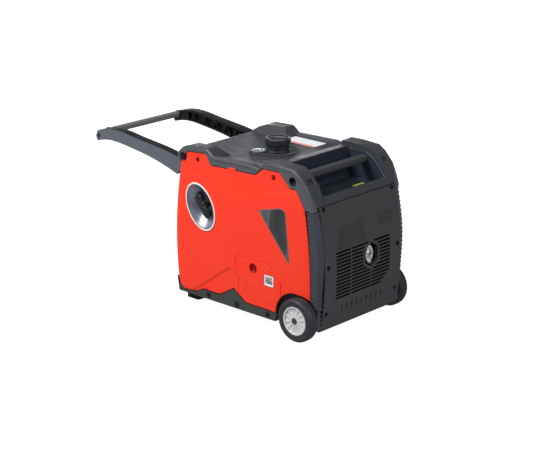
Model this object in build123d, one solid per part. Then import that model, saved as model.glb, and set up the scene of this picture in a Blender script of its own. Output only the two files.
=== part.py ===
from build123d import *
import math
import os

# Closed-frame inverter generator on two wheels, with a fold-out towing handle.
# Millimetres. +X is the exhaust and wheel end, -X the control panel and handle end,
# -Y the side with the recoil starter, +Z up. The sections below measure X from the
# middle of the body; everything is moved along X at the end, so that the origin lies
# on the floor under the middle of the whole object with its handle out.

# ---- Driving dimensions ----
HANDLE_TIP_X = -690.0
REAR_X = 326.0
ORIGIN_X = (HANDLE_TIP_X + REAR_X) / 2
BODY_HALF_WIDTH = 211.0
PANEL = 5.0                      # side cover thickness
COVER_GAP = 3.0                  # shadow gap around the side covers
HATCH_GAP = 1.2
WALL = 4.0                       # moulded cover thickness
INNER_HALF_WIDTH = BODY_HALF_WIDTH - PANEL
BASE_Z = 34.0
FLOOR = 6.0
EDGE_SLOPE = 5.0                 # chamfer along the outer top edges
DECK_Z = 510.0                   # valley of the top cover
END_HALF_WIDTH = 183.0           # flat part of the exhaust end
CONTROL_X = -290.0
CONTROL_HALF_WIDTH = 158.0

WHEEL_X = 249.0
WHEEL_R = 70.0
WHEEL_WIDTH = 40.0
WHEEL_OUTER_Y = 241.0
HUB_R = 47.0
AXLE_R = 8.0
RUNNING_GAP = 0.05
ARCH_X = 228.0
ARCH_Z = 63.0
ARCH_R = 83.0

PIVOT_X = -259.0
PIVOT_Z = 498.0
PIVOT_R = 6.0
ARM_Y = (165.0, 198.0)
GRIP_X = -664.0
GRIP_Z = 500.0
GRIP_R = 11.0
TRUSS_X = (-616.0, -322.0)       # ribbed part of each arm
TRUSS_Z = (440.0, 520.0)
TRUSS_CELLS = 11
ARM_WEB_DEPTH = 13.0

DISH_X = -179.0
DISH_Z = 344.0
DISH_RIM_R = 82.0                # along its long axis
DISH_BOWL_R = 71.0
DISH_NARROWING = 0.72            # width over height of the oval dish
DISH_LEAN = 30.0                 # its top leans towards the control end
DISH_DEPTH = 36.0
GRIP_Y = (-205.0, -192.0)        # pull grip, front and back
GRIP_LEAN = 41.0
GRIP_LOBE_R = 13.0
GRIP_LOBE_PITCH = 26.0

CAP_X = -37.0
CAP_R = 41.5
NECK_R = 35.0
NECK_BORE_R = 28.0
GAUGE_X = -75.0
GAUGE_Y = -50.0

CRANK_Z = 205.0
CRANK_R = 12.5
REEL_X = DISH_X
REEL_R = 55.0
ROPE_R = 2.2

SCREW_HEAD_R = 5.5
SCREW_POCKET_R = 6.0
SCREW_SINK = 2.0

BAR_X = (181.0, 210.0)
BAR_Z = (492.0, 514.0)
TUB_HALF_WIDTH = 152.0

OUTLET_Y = 38.0
OUTLET_Z = 236.0
SURROUND_R = 36.0
SURROUND_RING = 9.0
LOUVRE_ROWS = 14
LOUVRE_PITCH = 11.3
LOUVRE_GAP = 7.0
LOUVRE_Z = 128.5                 # lowest row
LOUVRE_COLUMNS = ((-130, -60), (-56, 37), (41, 130))
LOW_SLOTS = 9
LOW_SLOT_PITCH = 23.6

GUARD_Z = (108.0, 152.0, 235.0, 330.0, 419.0)
GUARD_INNER_Y = 184.0
GUARD_GROOVES = 21
GUARD_GROOVE_PITCH = 14.4
GUARD_GROOVE = (11.4, 1.6)       # height and depth
POST_TOP = 154.0
POST_GROOVES = 7

AXES = {"X": (1, 0, 0), "Y": (0, 1, 0), "Z": (0, 0, 1)}
ON_END = (Align.CENTER, Align.CENTER, Align.MIN)


# ---- Shape helpers ----
def block(x, y, z):
    """A box between the two limits given for each axis."""
    spans = (x, y, z)
    size = [high - low for low, high in spans]
    middle = [(high + low) / 2 for low, high in spans]
    return Pos(*middle) * Box(*size)


def rod(axis, start, length, radius, bore=0.0):
    """A cylinder or tube from its start point along an axis."""
    place = Plane(origin=start, z_dir=AXES[axis])
    solid = place * Cylinder(radius, length, align=ON_END)
    if bore:
        solid -= place * Cylinder(bore, length, align=ON_END)
    return solid


def across(outline, y):
    """An outline of X and Z points, or a sketch, carried between two Y limits."""
    face = make_face(Polyline(*outline, close=True)) if isinstance(outline, list) else outline
    plane = Plane(origin=(0, y[1], 0), x_dir=(1, 0, 0), z_dir=(0, -1, 0))
    return extrude(plane * face, amount=y[1] - y[0])


def along(outline, x):
    """An outline of Y and Z points, or a sketch, carried between two X limits."""
    face = make_face(Polyline(*outline, close=True)) if isinstance(outline, list) else outline
    plane = Plane(origin=(x[0], 0, 0), x_dir=(0, 1, 0), z_dir=(1, 0, 0))
    return extrude(plane * face, amount=x[1] - x[0])


def up(outline, z):
    """An outline of X and Y points, or a sketch, carried between two heights."""
    face = make_face(Polyline(*outline, close=True)) if isinstance(outline, list) else outline
    return extrude(Plane.XY.offset(z[0]) * face, amount=z[1] - z[0])


def lowered(points, drop):
    """The same profile a given distance further down."""
    return [(x, z - drop) for x, z in points]


def other_side(shape):
    """The mirror image on the +Y side."""
    return mirror(shape, about=Plane.XZ)


def both(shape):
    """The shape and its mirror image."""
    return shape + other_side(shape)


def save(name, shape):
    """Writes one sub-part, moved to the object's own origin."""
    export_step(Pos(-ORIGIN_X, 0, 0) * shape, f"parts/{name}.step")


# ---- Side silhouettes, X and Z ----
LOWER_EDGE = [(-289, 84), (-279, 59), (-263, 47), (-205, 49), (-178, 64), (-102, 64), (-40, 100),
              (14, 65), (145, 64)]
RED_TOP = [(264, 420), (245, 455), (223, 479), (202, 478), (187, 493), (158, 521), (89, 519),
           (59, 494), (-132, 488), (-141, 493), (-151, 512), (-163, 521), (-238, 515),
           (-249, 502), (-264, 493)]
RAIL_TOP = [(-281, 511), (-260, 528), (-236, 537), (-158, 540), (-147, 536), (-127, 520), (39, 524),
            (67, 518), (100, 544), (142, 545), (215, 541), (241, 524), (272, 490), (287, 455),
            (295, 433), (297, 421)]
HUMP_TOP = [(100, 543), (142, 544), (215, 540), (241, 523), (272, 489), (287, 454), (295, 433)]
FRONT_HUMP_TOP = [(-281, 510), (-260, 527), (-236, 536), (-158, 539), (-147, 535), (-124, 512)]


def side_face():
    """The side cover's outline: straight lower and upper edges, bowed ends."""
    front = ThreePointArc((-264, 493), (-295, 270), (-289, 84))
    rear = ThreePointArc((286, 143), (280, 300), (264, 420))
    bottom = Polyline(*LOWER_EDGE, (286, 64), (286, 143))
    return make_face(front + rear + bottom + Polyline(*RED_TOP))


def hatch_face(gap):
    """The service hatch's outline, grown by a gap for the opening around it."""
    outline = [(-27 - gap, 207), (-15, 215 + gap), (117 + gap, 216 + gap), (166 + gap, 165),
               (166 + gap, 60), (14, 60), (-17 - gap, 88), (-17 - gap, 101), (-16 - gap, 151),
               (-27 - gap, 190)]
    return make_face(Polyline(*outline, close=True))


def oval(radius):
    """The leaning oval of the starter dish, as wide as a given long radius makes it."""
    return Pos(DISH_X, DISH_Z) * Rot(0, 0, DISH_LEAN) * Ellipse(radius * DISH_NARROWING, radius)


# ---- Casings and covers ----
HATCH_SCREW = (49.0, 188.0)
TOP_SCREWS = [(-195.0, 497.0), (133.0, 501.0)]
BASE_SCREWS = [(-150.0, 49.0), (-23.0, 50.0), (110.0, 49.0)]
END_SCREWS = [(-164.0, 422.0), (-167.0, 242.0), (-168.0, 92.0)]
SCREW_RECESS_R = 7.5
HATCH_RECESS_R = 16.0


def side_covers():
    """Two bowed side panels with a wheel arch, a hatch opening and screw recesses."""
    y = (-BODY_HALF_WIDTH, -INNER_HALF_WIDTH)
    plate = across(side_face(), y)
    plate -= rod("Y", (ARCH_X, y[0] - 1, ARCH_Z), PANEL + 2, ARCH_R)
    plate -= rod("Y", (WHEEL_X, y[0] - 1, WHEEL_R), PANEL + 2, WHEEL_R + 5)
    plate -= rod("Y", (PIVOT_X, y[0] - 1, PIVOT_Z), PANEL + 2, 14.5)
    hatch = plate & across(hatch_face(0.0), y)
    plate -= across(hatch_face(HATCH_GAP), (y[0] - 1, y[1] + 1))
    for x, z in TOP_SCREWS:
        plate -= rod("Y", (x, y[0] - 1, z), PANEL + 2, SCREW_RECESS_R)
    hatch -= rod("Y", (HATCH_SCREW[0], y[0] - 1, HATCH_SCREW[1]), PANEL + 2, HATCH_RECESS_R)
    save("starter_side_cover", plate - across(oval(DISH_BOWL_R + 5), (y[0] - 1, y[1] + 1)))
    save("filter_side_cover", other_side(plate))
    save("service_hatches", both(hatch))


def base_tray():
    """The tray that carries everything, stepped in around the wheels and the handle grip."""
    floor = block((-285, 140), (-200, 200), (BASE_Z, BASE_Z + FLOOR))
    floor += block((140, 308), (-188, 188), (BASE_Z, BASE_Z + FLOOR))
    low = lowered(LOWER_EDGE, COVER_GAP - 0.5)
    proud = across([(-284, BASE_Z)] + low[1:] + [(150, 63), (142, BASE_Z)], (-209, -206))
    backing = across([(-284, BASE_Z), (-284, 62), (-60, 108), (-10, 112), (140, 104), (140, BASE_Z)],
                     (-206, -200))
    front_lip = block((-289, -283), (-206, -160), (BASE_Z, 60))
    upturn = across([(-284, BASE_Z), (-290, BASE_Z), (-294, 58), (-298, 82), (-293.5, 82),
                     (-287, 58), (-284, 50)], (-206, -199.5))
    sides = both(proud + backing + front_lip + upturn)
    well_front = block((138, 142), (188, 206), (BASE_Z, 148))
    well_side = block((138, 306), (184, 188.5), (BASE_Z, 152))
    well_roof = block((138, 284), (186, 206), (148, 152))
    wells = both(well_front + well_side + well_roof)
    front = block((-289, -285), (-206, 206), (BASE_Z, 60))
    rear = block((304, 308), (-184, 184), (BASE_Z, 66))
    tray = floor + sides + wells + front + rear
    tray -= rod("Y", (WHEEL_X, -220, WHEEL_R), 440, AXLE_R + RUNNING_GAP)
    return tray


def on_crest(edge):
    """Whether an edge runs along the rail's outer top corner."""
    points = (edge @ 0, edge @ 1)
    outer = all(abs(point.Y + 209) < 0.01 for point in points)
    near = [min(math.hypot(point.X - x, point.Z - z) for x, z in RAIL_TOP[:-1]) for point in points]
    return outer and max(near) < 0.01


def rail_band():
    """The dark border along one side, between the side cover's top edge and the rail's top."""
    lower = lowered(RED_TOP, -COVER_GAP)
    middle = across(RAIL_TOP[4:] + [(x, z) for x, z in lower if x > -145], (-209, -188))
    pocket = across(lowered(RAIL_TOP[5:9], WALL) + [(100, 470), (-123, 470)], (-205, -192))
    rear_pocket = across(lowered(HUMP_TOP[:5], WALL) + [(240, 440), (100, 470)], (-205, -192))
    front = across(RAIL_TOP[:5] + [(x, z) for x, z in lower if x < -139], (-209, -203))
    cheek = across([(-280, 511), (-284, 492), (-279, 479), (-271, 479), (-267, 493), (-263, 496)],
                   (-209, -203))
    band = middle - pocket - rear_pocket + front + cheek
    crest = [edge for edge in band.edges() if on_crest(edge)]
    return chamfer(crest, EDGE_SLOPE)


def hump_ramp(inset):
    """The slope that a front hump makes down to the valley."""
    foot = -128 - inset
    top = 541 - inset
    return along([(foot, 490), (foot, 509 - inset), (foot - 37, top), (-203, top), (-203, 490)],
                 (-295, -115))


def top_cover():
    """The dark lid: a flat valley between two rails, humps at both ends and a deck at the rear."""
    deck_top = [(-290, 500), (-290, 504), (-264, 513), (-240, DECK_Z), (58, DECK_Z), (100, 530), (126, 530)]
    deck_under = [(126, 525), (102, 525), (60, DECK_Z - 5), (-284, DECK_Z - 5), (-284, 500)]
    deck = across(deck_top + deck_under, (-188, 188))
    front_solid = across(FRONT_HUMP_TOP + [(-124, 500), (-278, 500)], (-203, -128))
    front_core = across(lowered(FRONT_HUMP_TOP[:5], WALL + 1) + [(-140, 490), (-281, 490)],
                        (-203, -132))
    front_solid = front_solid & hump_ramp(0)
    front_core = front_core & hump_ramp(WALL)
    rear_solid = across(HUMP_TOP + [(288, 433), (240, 500), (100, 500)], (-188, -TUB_HALF_WIDTH - 0.5))
    rear_core = across(lowered(HUMP_TOP[:6], WALL + 1) + [(284, 433), (236, 480), (104, 480)],
                       (-188, -TUB_HALF_WIDTH - 4))
    arm_way = block((-300, -214), (-203, -162), (440, 521))
    deck -= both(block((-284, -140), (-203, -132), (DECK_Z - 6, DECK_Z + 1)))
    cover = deck + both(rail_band() + (front_solid - front_core) + (rear_solid - rear_core))
    lip_half = TUB_HALF_WIDTH + 1
    lip = across([(289, 433), (295, 433), (290, 456), (285, 456)], (-lip_half, lip_half))
    cover += lip
    cover -= both(arm_way)
    cover -= rod("Z", (CAP_X, 0, DECK_Z - 10), 20, NECK_R + 0.5)
    cover -= rod("Z", (GAUGE_X, GAUGE_Y, DECK_Z - 10), 20, 25.5)
    cover -= both(rod("Y", (214, -215, 504), 12, 14.5))
    trim_line = RAIL_TOP[3:15]
    cover -= both(across(lowered(trim_line, 11) + lowered(trim_line, 13)[::-1], (-210, -207.6)))
    for y in (-183, -172):
        slot = Pos(257, y, 506) * Rot(0, 47, 0) * Box(20, 7.5, 12)
        cover -= both(slot)
    cover -= both(rod("Y", (PIVOT_X, -215, PIVOT_Z), 20, PIVOT_R + 0.2))
    return cover


def end_profile(inset):
    """The bowed line of the exhaust end, seen from the side."""
    return ThreePointArc((298 - inset, 431), (326 - inset, 235), (314 - inset, 68))


def end_x(z):
    """The X of the bowed end panel's outer face at a height."""
    low, middle, high = (314, 68), (326, 235), (298, 431)
    share = (z - middle[1]) / ((high if z > middle[1] else low)[1] - middle[1])
    return middle[0] - (middle[0] - (high if z > middle[1] else low)[0]) * share ** 2


def exhaust_end_cover():
    """A bowed end panel with louvres, a hexagonal exhaust surround and a row of low slots."""
    outer = end_profile(0)
    inner = end_profile(WALL)
    rim = Line(outer @ 0, inner @ 0) + Line(outer @ 1, inner @ 1)
    panel = across(make_face(outer + inner + rim), (-END_HALF_WIDTH, END_HALF_WIDTH))
    panel += block((308.2, 314), (-END_HALF_WIDTH, END_HALF_WIDTH), (42, 68))
    span = (285, 335)
    ring = along(surround_face(SURROUND_R + SURROUND_RING), span)
    for row in range(LOUVRE_ROWS):
        z = LOUVRE_Z + LOUVRE_PITCH * row
        last = 130 if z > 160 else 90 + (z - 129) * 1.2
        for low, high in LOUVRE_COLUMNS:
            panel -= block(span, (low, min(high, last)), (z, z + LOUVRE_GAP)) - ring
    for slot in range(LOW_SLOTS):
        y = (slot - LOW_SLOTS // 2) * LOW_SLOT_PITCH
        panel -= block((end_x(87) - 1.6, 330), (y - 3.5, y + 3.5), (80, 103))
    panel -= along(surround_face(SURROUND_R), span)
    for y, z in END_SCREWS:
        panel -= both(rod("X", (end_x(z) - SCREW_SINK, y, z), 10, SCREW_POCKET_R))
    return panel


def surround_face(radius):
    """The tall hexagon around the exhaust outlet."""
    points = [(OUTLET_Y + radius * math.sin(math.radians(60 * k)),
               OUTLET_Z + 1.15 * radius * math.cos(math.radians(60 * k))) for k in range(6)]
    return make_face(Polyline(*points, close=True))


def guard_body(inset):
    """The smooth body of a rear corner guard, or the same body a little further in."""
    sections = []
    for z in GUARD_Z:
        side_x = 289.5 - 20 * ((z - 152) / 274) ** 2
        rim_x = 325 - 26 * ((max(z, 152) - 245) / 181) ** 2
        bulge_x = side_x + 0.78 * (rim_x - side_x)
        outline = [(side_x, -206.5), (side_x + 1, -210.5 + inset), (bulge_x - inset, -206.5 + inset),
                   (rim_x - 1 - inset, -GUARD_INNER_Y), (rim_x - 9, -GUARD_INNER_Y), (rim_x - 16, -199)]
        sections.append(Plane.XY.offset(z) * make_face(Polyline(*outline, close=True)))
    return loft(sections)


def corner_guard():
    """A guard with shallow level grooves across one rear corner, and the post below it."""
    height, depth = GUARD_GROOVE
    core = guard_body(depth)
    guard = guard_body(0.0)
    for groove in range(GUARD_GROOVES):
        z = GUARD_Z[0] + 4 + GUARD_GROOVE_PITCH * groove
        guard -= block((250, 340), (-215, -180), (z, z + height)) - core
    guard -= rod("Y", (WHEEL_X, -220, WHEEL_R), 19.5, WHEEL_R + 6)
    foot = []
    for z, rim_x in ((42, 313), (POST_TOP, 317)):
        outline = [(306.5, -199.5), (rim_x - 6, -199.5), (rim_x, -GUARD_INNER_Y), (308.5, -GUARD_INNER_Y),
                   (306.5, -189.2)]
        foot.append(Plane.XY.offset(z) * make_face(Polyline(*outline, close=True)))
    post = loft(foot)
    for groove in range(POST_GROOVES):
        z = GUARD_Z[0] + 4 + GUARD_GROOVE_PITCH * (groove - 4)
        cut = block((300, 320), (-201, -180), (z, z + height))
        post -= cut - block((300, 312 - depth), (-199.5 + depth, -180), (0, POST_TOP))
    return guard + post


def control_end_cover():
    """The box-shaped surround of the control panel, with the handle's channels beside it."""
    half = CONTROL_HALF_WIDTH
    shell = block((CONTROL_X, -226), (-half, half), (122, 499.5))
    shell -= block((CONTROL_X + WALL, -225), (-half + WALL, half - WALL), (126, 495.5))
    shell += both(block((-272, -246), (-half, -half + WALL), (499, 509)))
    shell -= both(block((-274, -244), (-half + WALL, -half + 14), (480, 505)))
    shell -= block((CONTROL_X - 1, CONTROL_X + WALL + 1), (-146, 146), (150, 440))
    shell += block((-240, -236), (-199, 199), (61, 122))
    shell += block((-288, -236), (-half, half), (62.5, 66))
    shell -= rod("Y", (PIVOT_X, -half - 1, PIVOT_Z), 2 * half + 2, PIVOT_R + 0.2)
    return shell


def casings():
    """All covers, the tray, the guards and the carrying recess."""
    save("base_tray", base_tray())
    side_covers()
    save("top_cover", top_cover())
    save("exhaust_end_cover", exhaust_end_cover())
    save("rear_corner_guards", both(corner_guard()))
    save("control_end_cover", control_end_cover())
    tub_outer = [(127, 428), (127, 524), (205, 524), (236, 506), (262, 478), (284.5, 454), (288, 428)]
    tub_inner = [(131, 440), (139, 432), (276, 432), (281, 440), (281, 560), (131, 560)]
    half = TUB_HALF_WIDTH
    tub = across(tub_outer, (-half, half)) - across(tub_inner, (-half + WALL, half - WALL))
    save("carry_recess_tub", tub)
    bar = block(BAR_X, (-half + WALL, half - WALL), BAR_Z)
    save("carry_bar", fillet(bar.edges().filter_by(Axis.Y), 7))
    save("cover_screws", cover_screws())


def cover_screws():
    """Recessed cross-head screws of the side covers, the end panel and the tray."""
    screws = []
    head_y = -BODY_HALF_WIDTH + 1.5
    for x, z in TOP_SCREWS + [HATCH_SCREW]:
        screws.append(rod("Y", (x, head_y, z), 3.4, 6.5))
    for x, z in BASE_SCREWS:
        screws.append(rod("Y", (x, -211.5, z), 2.4, SCREW_HEAD_R))
    screws += [other_side(screw) for screw in screws]
    for y, z in END_SCREWS:
        for side in (-1, 1):
            screws.append(rod("X", (end_x(z) - SCREW_SINK, side * y, z), SCREW_SINK - 0.4, SCREW_HEAD_R))
    return Compound(children=screws)


# ---- Towing handle ----
def handle():
    """Two I-section arms with truss ribs, a grip tube between them and their pivot bolts."""
    top = Spline((-682, 505), (-628, 519), (-594, 522), (-482, 511), (-373, 499), (-296, 485))
    bottom = Spline((-300, 426), (-429, 461), (-539, 477), (-624, 482), (-680, 470))
    root = Polyline((-296, 485), (-262, 516), (-242, 508), (-240, 488), (-252, 478), (-300, 426))
    tip = Polyline((-680, 470), (-687, 475), (-690, 488), (-682, 505))
    skin = across(make_face(top + root + bottom + tip), (-ARM_Y[1], -ARM_Y[0]))
    inner_top = [(-616, 514), (-594, 515), (-482, 504), (-373, 492), (-322, 482)]
    inner_bottom = [(-322, 440), (-429, 468), (-539, 484), (-612, 488)]
    depth = (-ARM_Y[0] - ARM_WEB_DEPTH, -ARM_Y[0])
    arm = skin - across(inner_top + inner_bottom, (depth[0], depth[1] + 1))
    cell = (TRUSS_X[1] - TRUSS_X[0]) / TRUSS_CELLS
    for k in range(TRUSS_CELLS):
        x_low = TRUSS_X[0] + cell * k
        ends = TRUSS_Z if k % 2 == 0 else TRUSS_Z[::-1]
        x_high = x_low + cell
        rib = [(x_low - 6, ends[0]), (x_low - 3, ends[0]), (x_high + 6, ends[1]), (x_high + 3, ends[1])]
        arm += across(rib, depth) & across(inner_top + inner_bottom, (depth[0], depth[1]))
    arm -= rod("Y", (PIVOT_X, -200, PIVOT_Z), 40, PIVOT_R + RUNNING_GAP)
    save("handle_arms", both(arm))
    grip = rod("Y", (GRIP_X, -ARM_Y[0], GRIP_Z), 2 * ARM_Y[0], GRIP_R)
    save("handle_grip", grip)
    shank = rod("Y", (PIVOT_X, -209, PIVOT_Z), 59, PIVOT_R)
    nut = rod("Y", (PIVOT_X, -CONTROL_HALF_WIDTH + WALL, PIVOT_Z), 5, 10)
    head = rod("Y", (PIVOT_X, -211.5, PIVOT_Z), 2.5, 12)
    save("handle_pivot_bolts", both(shank + nut + head))


# ---- Running gear ----
def wheel(side):
    """One tyre and its hub, both running freely on the axle."""
    name = "left" if side > 0 else "right"
    outer = side * WHEEL_OUTER_Y
    inner = side * (WHEEL_OUTER_Y - WHEEL_WIDTH)
    start = min(outer, inner)
    tyre = rod("Y", (WHEEL_X, start, WHEEL_R), WHEEL_WIDTH, WHEEL_R)
    tyre = fillet(tyre.edges().filter_by(GeomType.CIRCLE), 7)
    tyre -= rod("Y", (WHEEL_X, start - 1, WHEEL_R), WHEEL_WIDTH + 2, HUB_R)
    hub = rod("Y", (WHEEL_X, start + 1.5, WHEEL_R), WHEEL_WIDTH - 3, HUB_R)
    dish = Plane(origin=(WHEEL_X, outer, WHEEL_R), z_dir=(0, -side, 0))
    hub -= dish * Cone(HUB_R - 4, 15, 14, align=ON_END)
    hub -= rod("Y", (WHEEL_X, start, WHEEL_R), WHEEL_WIDTH, AXLE_R + RUNNING_GAP)
    save(f"tyre_{name}", tyre)
    save(f"wheel_hub_{name}", hub)


def running_gear():
    """Axle with end clips, two wheels and two rubber feet."""
    wheel(1)
    wheel(-1)
    axle = rod("Y", (WHEEL_X, -236, WHEEL_R), 472, AXLE_R)
    axle += both(rod("Y", (WHEEL_X, -200.7, WHEEL_R), 12.2, 13))
    axle += both(rod("Y", (WHEEL_X, -236, WHEEL_R), 8.5, 11))
    save("axle", axle)
    foot = up([(-292, 128), (-235, 128), (-235, 172), (-292, 172)], (0, BASE_Z))
    foot = chamfer(foot.edges().filter_by(Axis.Z), 6)
    save("front_feet", both(foot))


# ---- Recoil starter ----
def starter():
    """Silver dish with its pull grip, the rope behind it, the reel and its housing."""
    bowl_points = 6
    outer_y = -BODY_HALF_WIDTH - 3
    curve = []
    for k in range(bowl_points + 1):
        r = DISH_BOWL_R * k / bowl_points
        curve.append((r, DISH_DEPTH * (1 - (r / DISH_BOWL_R) ** 3)))
    back = [(r, depth + 3) for r, depth in curve]
    section = curve + [(DISH_RIM_R, 0), (DISH_RIM_R, 2.6), (DISH_BOWL_R + 2.5, 2.6)] + back[::-1][1:]
    dish = revolve(make_face(Polyline(*section, close=True)), axis=Axis.Y)
    dish = scale(dish, by=(DISH_NARROWING, 1, 1))
    dish = Pos(DISH_X, outer_y, DISH_Z) * Rot(0, -DISH_LEAN, 0) * dish
    dish -= rod("Y", (DISH_X, outer_y, DISH_Z), 60, ROPE_R + 1.5)
    save("starter_dish", dish)
    grip_deep = GRIP_Y[1] - GRIP_Y[0]
    bar = block((-14, 9), (0, grip_deep), (-40, 40))
    for lobe in (-1, 0, 1):
        bar += rod("Y", (3, 0, GRIP_LOBE_PITCH * lobe), grip_deep, GRIP_LOBE_R)
    bar += rod("Y", (0, grip_deep - 1, 0), 9, 7)
    bar = Pos(DISH_X, GRIP_Y[0], DISH_Z) * Rot(0, -GRIP_LEAN, 0) * bar
    save("starter_grip", bar)
    behind_dish = -BODY_HALF_WIDTH + DISH_DEPTH + 9
    reel_top = (REEL_X, -20, CRANK_Z + REEL_R + 4)
    rope_end = (DISH_X, GRIP_Y[1] + 8.1, DISH_Z)
    path = FilletPolyline(rope_end, (DISH_X, behind_dish, DISH_Z), reel_top, radius=7)
    rope = sweep(Plane(origin=path @ 0, z_dir=path % 0) * Circle(ROPE_R), path=path)
    save("starter_rope", rope)
    reel = rod("X", (REEL_X - 6, 0, CRANK_Z), 12, REEL_R + 3)
    reel -= rod("X", (REEL_X - 3, 0, CRANK_Z), 6, REEL_R + 4, REEL_R - 6)
    reel -= rod("X", (REEL_X - 7, 0, CRANK_Z), 14, 10)
    save("recoil_reel", reel)
    cup = rod("X", (-200, 0, CRANK_Z), 36, 104) - rod("X", (-197, 0, CRANK_Z), 40, 101)
    cup += rod("X", (-197, 0, CRANK_Z), 26, 9.9)
    for spoke in range(8):
        angle = math.radians(45 * spoke + 22.5)
        hole = rod("X", (-201, 68 * math.sin(angle), CRANK_Z + 68 * math.cos(angle)), 5, 16)
        cup -= hole
    cup -= block((-190, -168), (-120, 0), (CRANK_Z + 40, CRANK_Z + 110))
    save("recoil_housing", cup)


# ---- Fuel system ----
def fuel_system():
    """Cap in two pieces with a gasket, escutcheon, gauge and the tank with its neck."""
    shell = rod("Z", (CAP_X, 0, 532), 26, CAP_R) - rod("Z", (CAP_X, 0, 531), 22, CAP_R - 5)
    for k in range(12):
        angle = math.radians(30 * k)
        x = CAP_X + (CAP_R + 1.2) * math.cos(angle)
        y = (CAP_R + 1.2) * math.sin(angle)
        shell -= rod("Z", (x, y, 531), 20, 3)
    save("fuel_cap_shell", shell)
    core = rod("Z", (CAP_X, 0, 505), 47.6, NECK_BORE_R - 1) + rod("Z", (CAP_X, 0, 536), 16.6, CAP_R - 5.4)
    save("fuel_cap_core", core)
    save("fuel_cap_gasket", rod("Z", (CAP_X, 0, 533.2), 2.8, NECK_R, NECK_BORE_R - 1))
    plate = rod("Z", (CAP_X, 0, DECK_Z), 3.5, 62) + rod("Z", (GAUGE_X, GAUGE_Y, DECK_Z), 3.5, 33)
    plate += up([(CAP_X - 52, 34), (GAUGE_X - 31, GAUGE_Y + 12), (GAUGE_X + 18, GAUGE_Y - 28),
                 (CAP_X + 30, -54)], (DECK_Z, DECK_Z + 3.5))
    plate -= rod("Z", (CAP_X, 0, DECK_Z), 5, NECK_R + 0.4)
    plate -= rod("Z", (GAUGE_X, GAUGE_Y, DECK_Z), 5, 25.2)
    save("filler_escutcheon", plate)
    gauge = rod("Z", (GAUGE_X, GAUGE_Y, 499), 15.5, 25)
    save("fuel_gauge", gauge)
    tank = block((-150, 112), (-172, 172), (412, 498))
    tank = fillet(tank.edges(), 14)
    core_space = block((-147, 109), (-169, 169), (415, 495))
    tank -= fillet(core_space.edges(), 11)
    tank += rod("Z", (CAP_X, 0, 495), 38, NECK_R)
    tank -= rod("Z", (CAP_X, 0, 480), 60, NECK_BORE_R)
    save("fuel_tank", tank)


# ---- Engine ----
def engine():
    """Single-cylinder engine: crankcase, head, valve cover, plug, carburettor and exhaust."""
    case = block((-55, 70), (-90, 90), (112, 260)) + block((-75, 90), (-100, 100), (100, 112))
    barrel = block((-30, 50), (20, 100), (260, 300))
    fins = [block((-45, 65), (12, 108), (264 + 9 * k, 268 + 9 * k)) for k in range(4)]
    case += barrel
    for fin in fins:
        case += fin
    case -= block((-50, 65), (-84, 84), (118, 254))
    case -= rod("X", (-60, 0, CRANK_Z), 140, CRANK_R + RUNNING_GAP)
    case -= rod("Z", (60, -75, 255), 10, 9)
    save("crankcase", case)
    head = block((-38, 58), (14, 106), (300, 326))
    for k in range(3):
        head += block((-45, 65), (10, 110), (303 + 8 * k, 306 + 8 * k))
    save("cylinder_head", head)
    cover = block((-35, 55), (18, 102), (326, 356))
    save("valve_cover", fillet(cover.edges().filter_by(Axis.Z), 10))
    plug = rod("Y", (10, 106.5, 314), 24, 6) + rod("Y", (10, 110.5, 314), 6, 9)
    head_hole = rod("Y", (10, 100, 314), 12, 7)
    save("spark_plug", plug + rod("Y", (10, 130.5, 314), 30, 9) - head_hole)
    stem = rod("Z", (60, -75, 255.2), 14, 8.8) + rod("Z", (60, -75, 261), 16, 17)
    save("oil_filler_cap", stem)
    carb = rod("Y", (-15, 135, 222), 30, 18) + block((-35, 5), (138, 160), (185, 240))
    save("carburettor", carb)
    box = block((-110, 60), (168, 196), (235, 345)) - block((-107, 57), (171, 193), (238, 342))
    save("air_filter_box", box)
    save("air_filter_element", block((-100, 50), (174, 190), (242, 338)))
    muffler = block((120, 290), (-70, 120), (165, 325))
    muffler = fillet(muffler.edges(), 22)
    chamber = block((122, 288), (-68, 118), (167, 323))
    muffler -= fillet(chamber.edges(), 20)
    muffler += rod("Y", (180, 119, 245), 20, 16)
    save("muffler", muffler)
    flange = along(outlet_face(), (312, 317))
    pipe = rod("X", (290.2, OUTLET_Y, OUTLET_Z), 28, 13, 10.5)
    save("exhaust_outlet", flange - rod("X", (300, OUTLET_Y, OUTLET_Z), 30, 10.5) + pipe
         - studs(300, 30, 2.6))
    save("engine_mounts", engine_mounts())


def outlet_face():
    """A tall diamond flange for two screws."""
    body = Pos(OUTLET_Y, OUTLET_Z) * Circle(17)
    ears = [Pos(OUTLET_Y, OUTLET_Z + side * 27) * Circle(6) for side in (-1, 1)]
    return make_hull(body.edges() + ears[0].edges() + ears[1].edges())


def studs(x, length, radius):
    """The two screws, or screw holes, of the outlet flange."""
    return (rod("X", (x, OUTLET_Y, OUTLET_Z - 27), length, radius)
            + rod("X", (x, OUTLET_Y, OUTLET_Z + 27), length, radius))


def engine_mounts():
    """Four rubber mounts between the tray and the engine's feet."""
    places = [(x, y) for x in (-55, 70) for y in (-80, 80)]
    return Compound(children=[rod("Z", (x, y, BASE_Z + FLOOR), 60, 18) for x, y in places])


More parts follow.
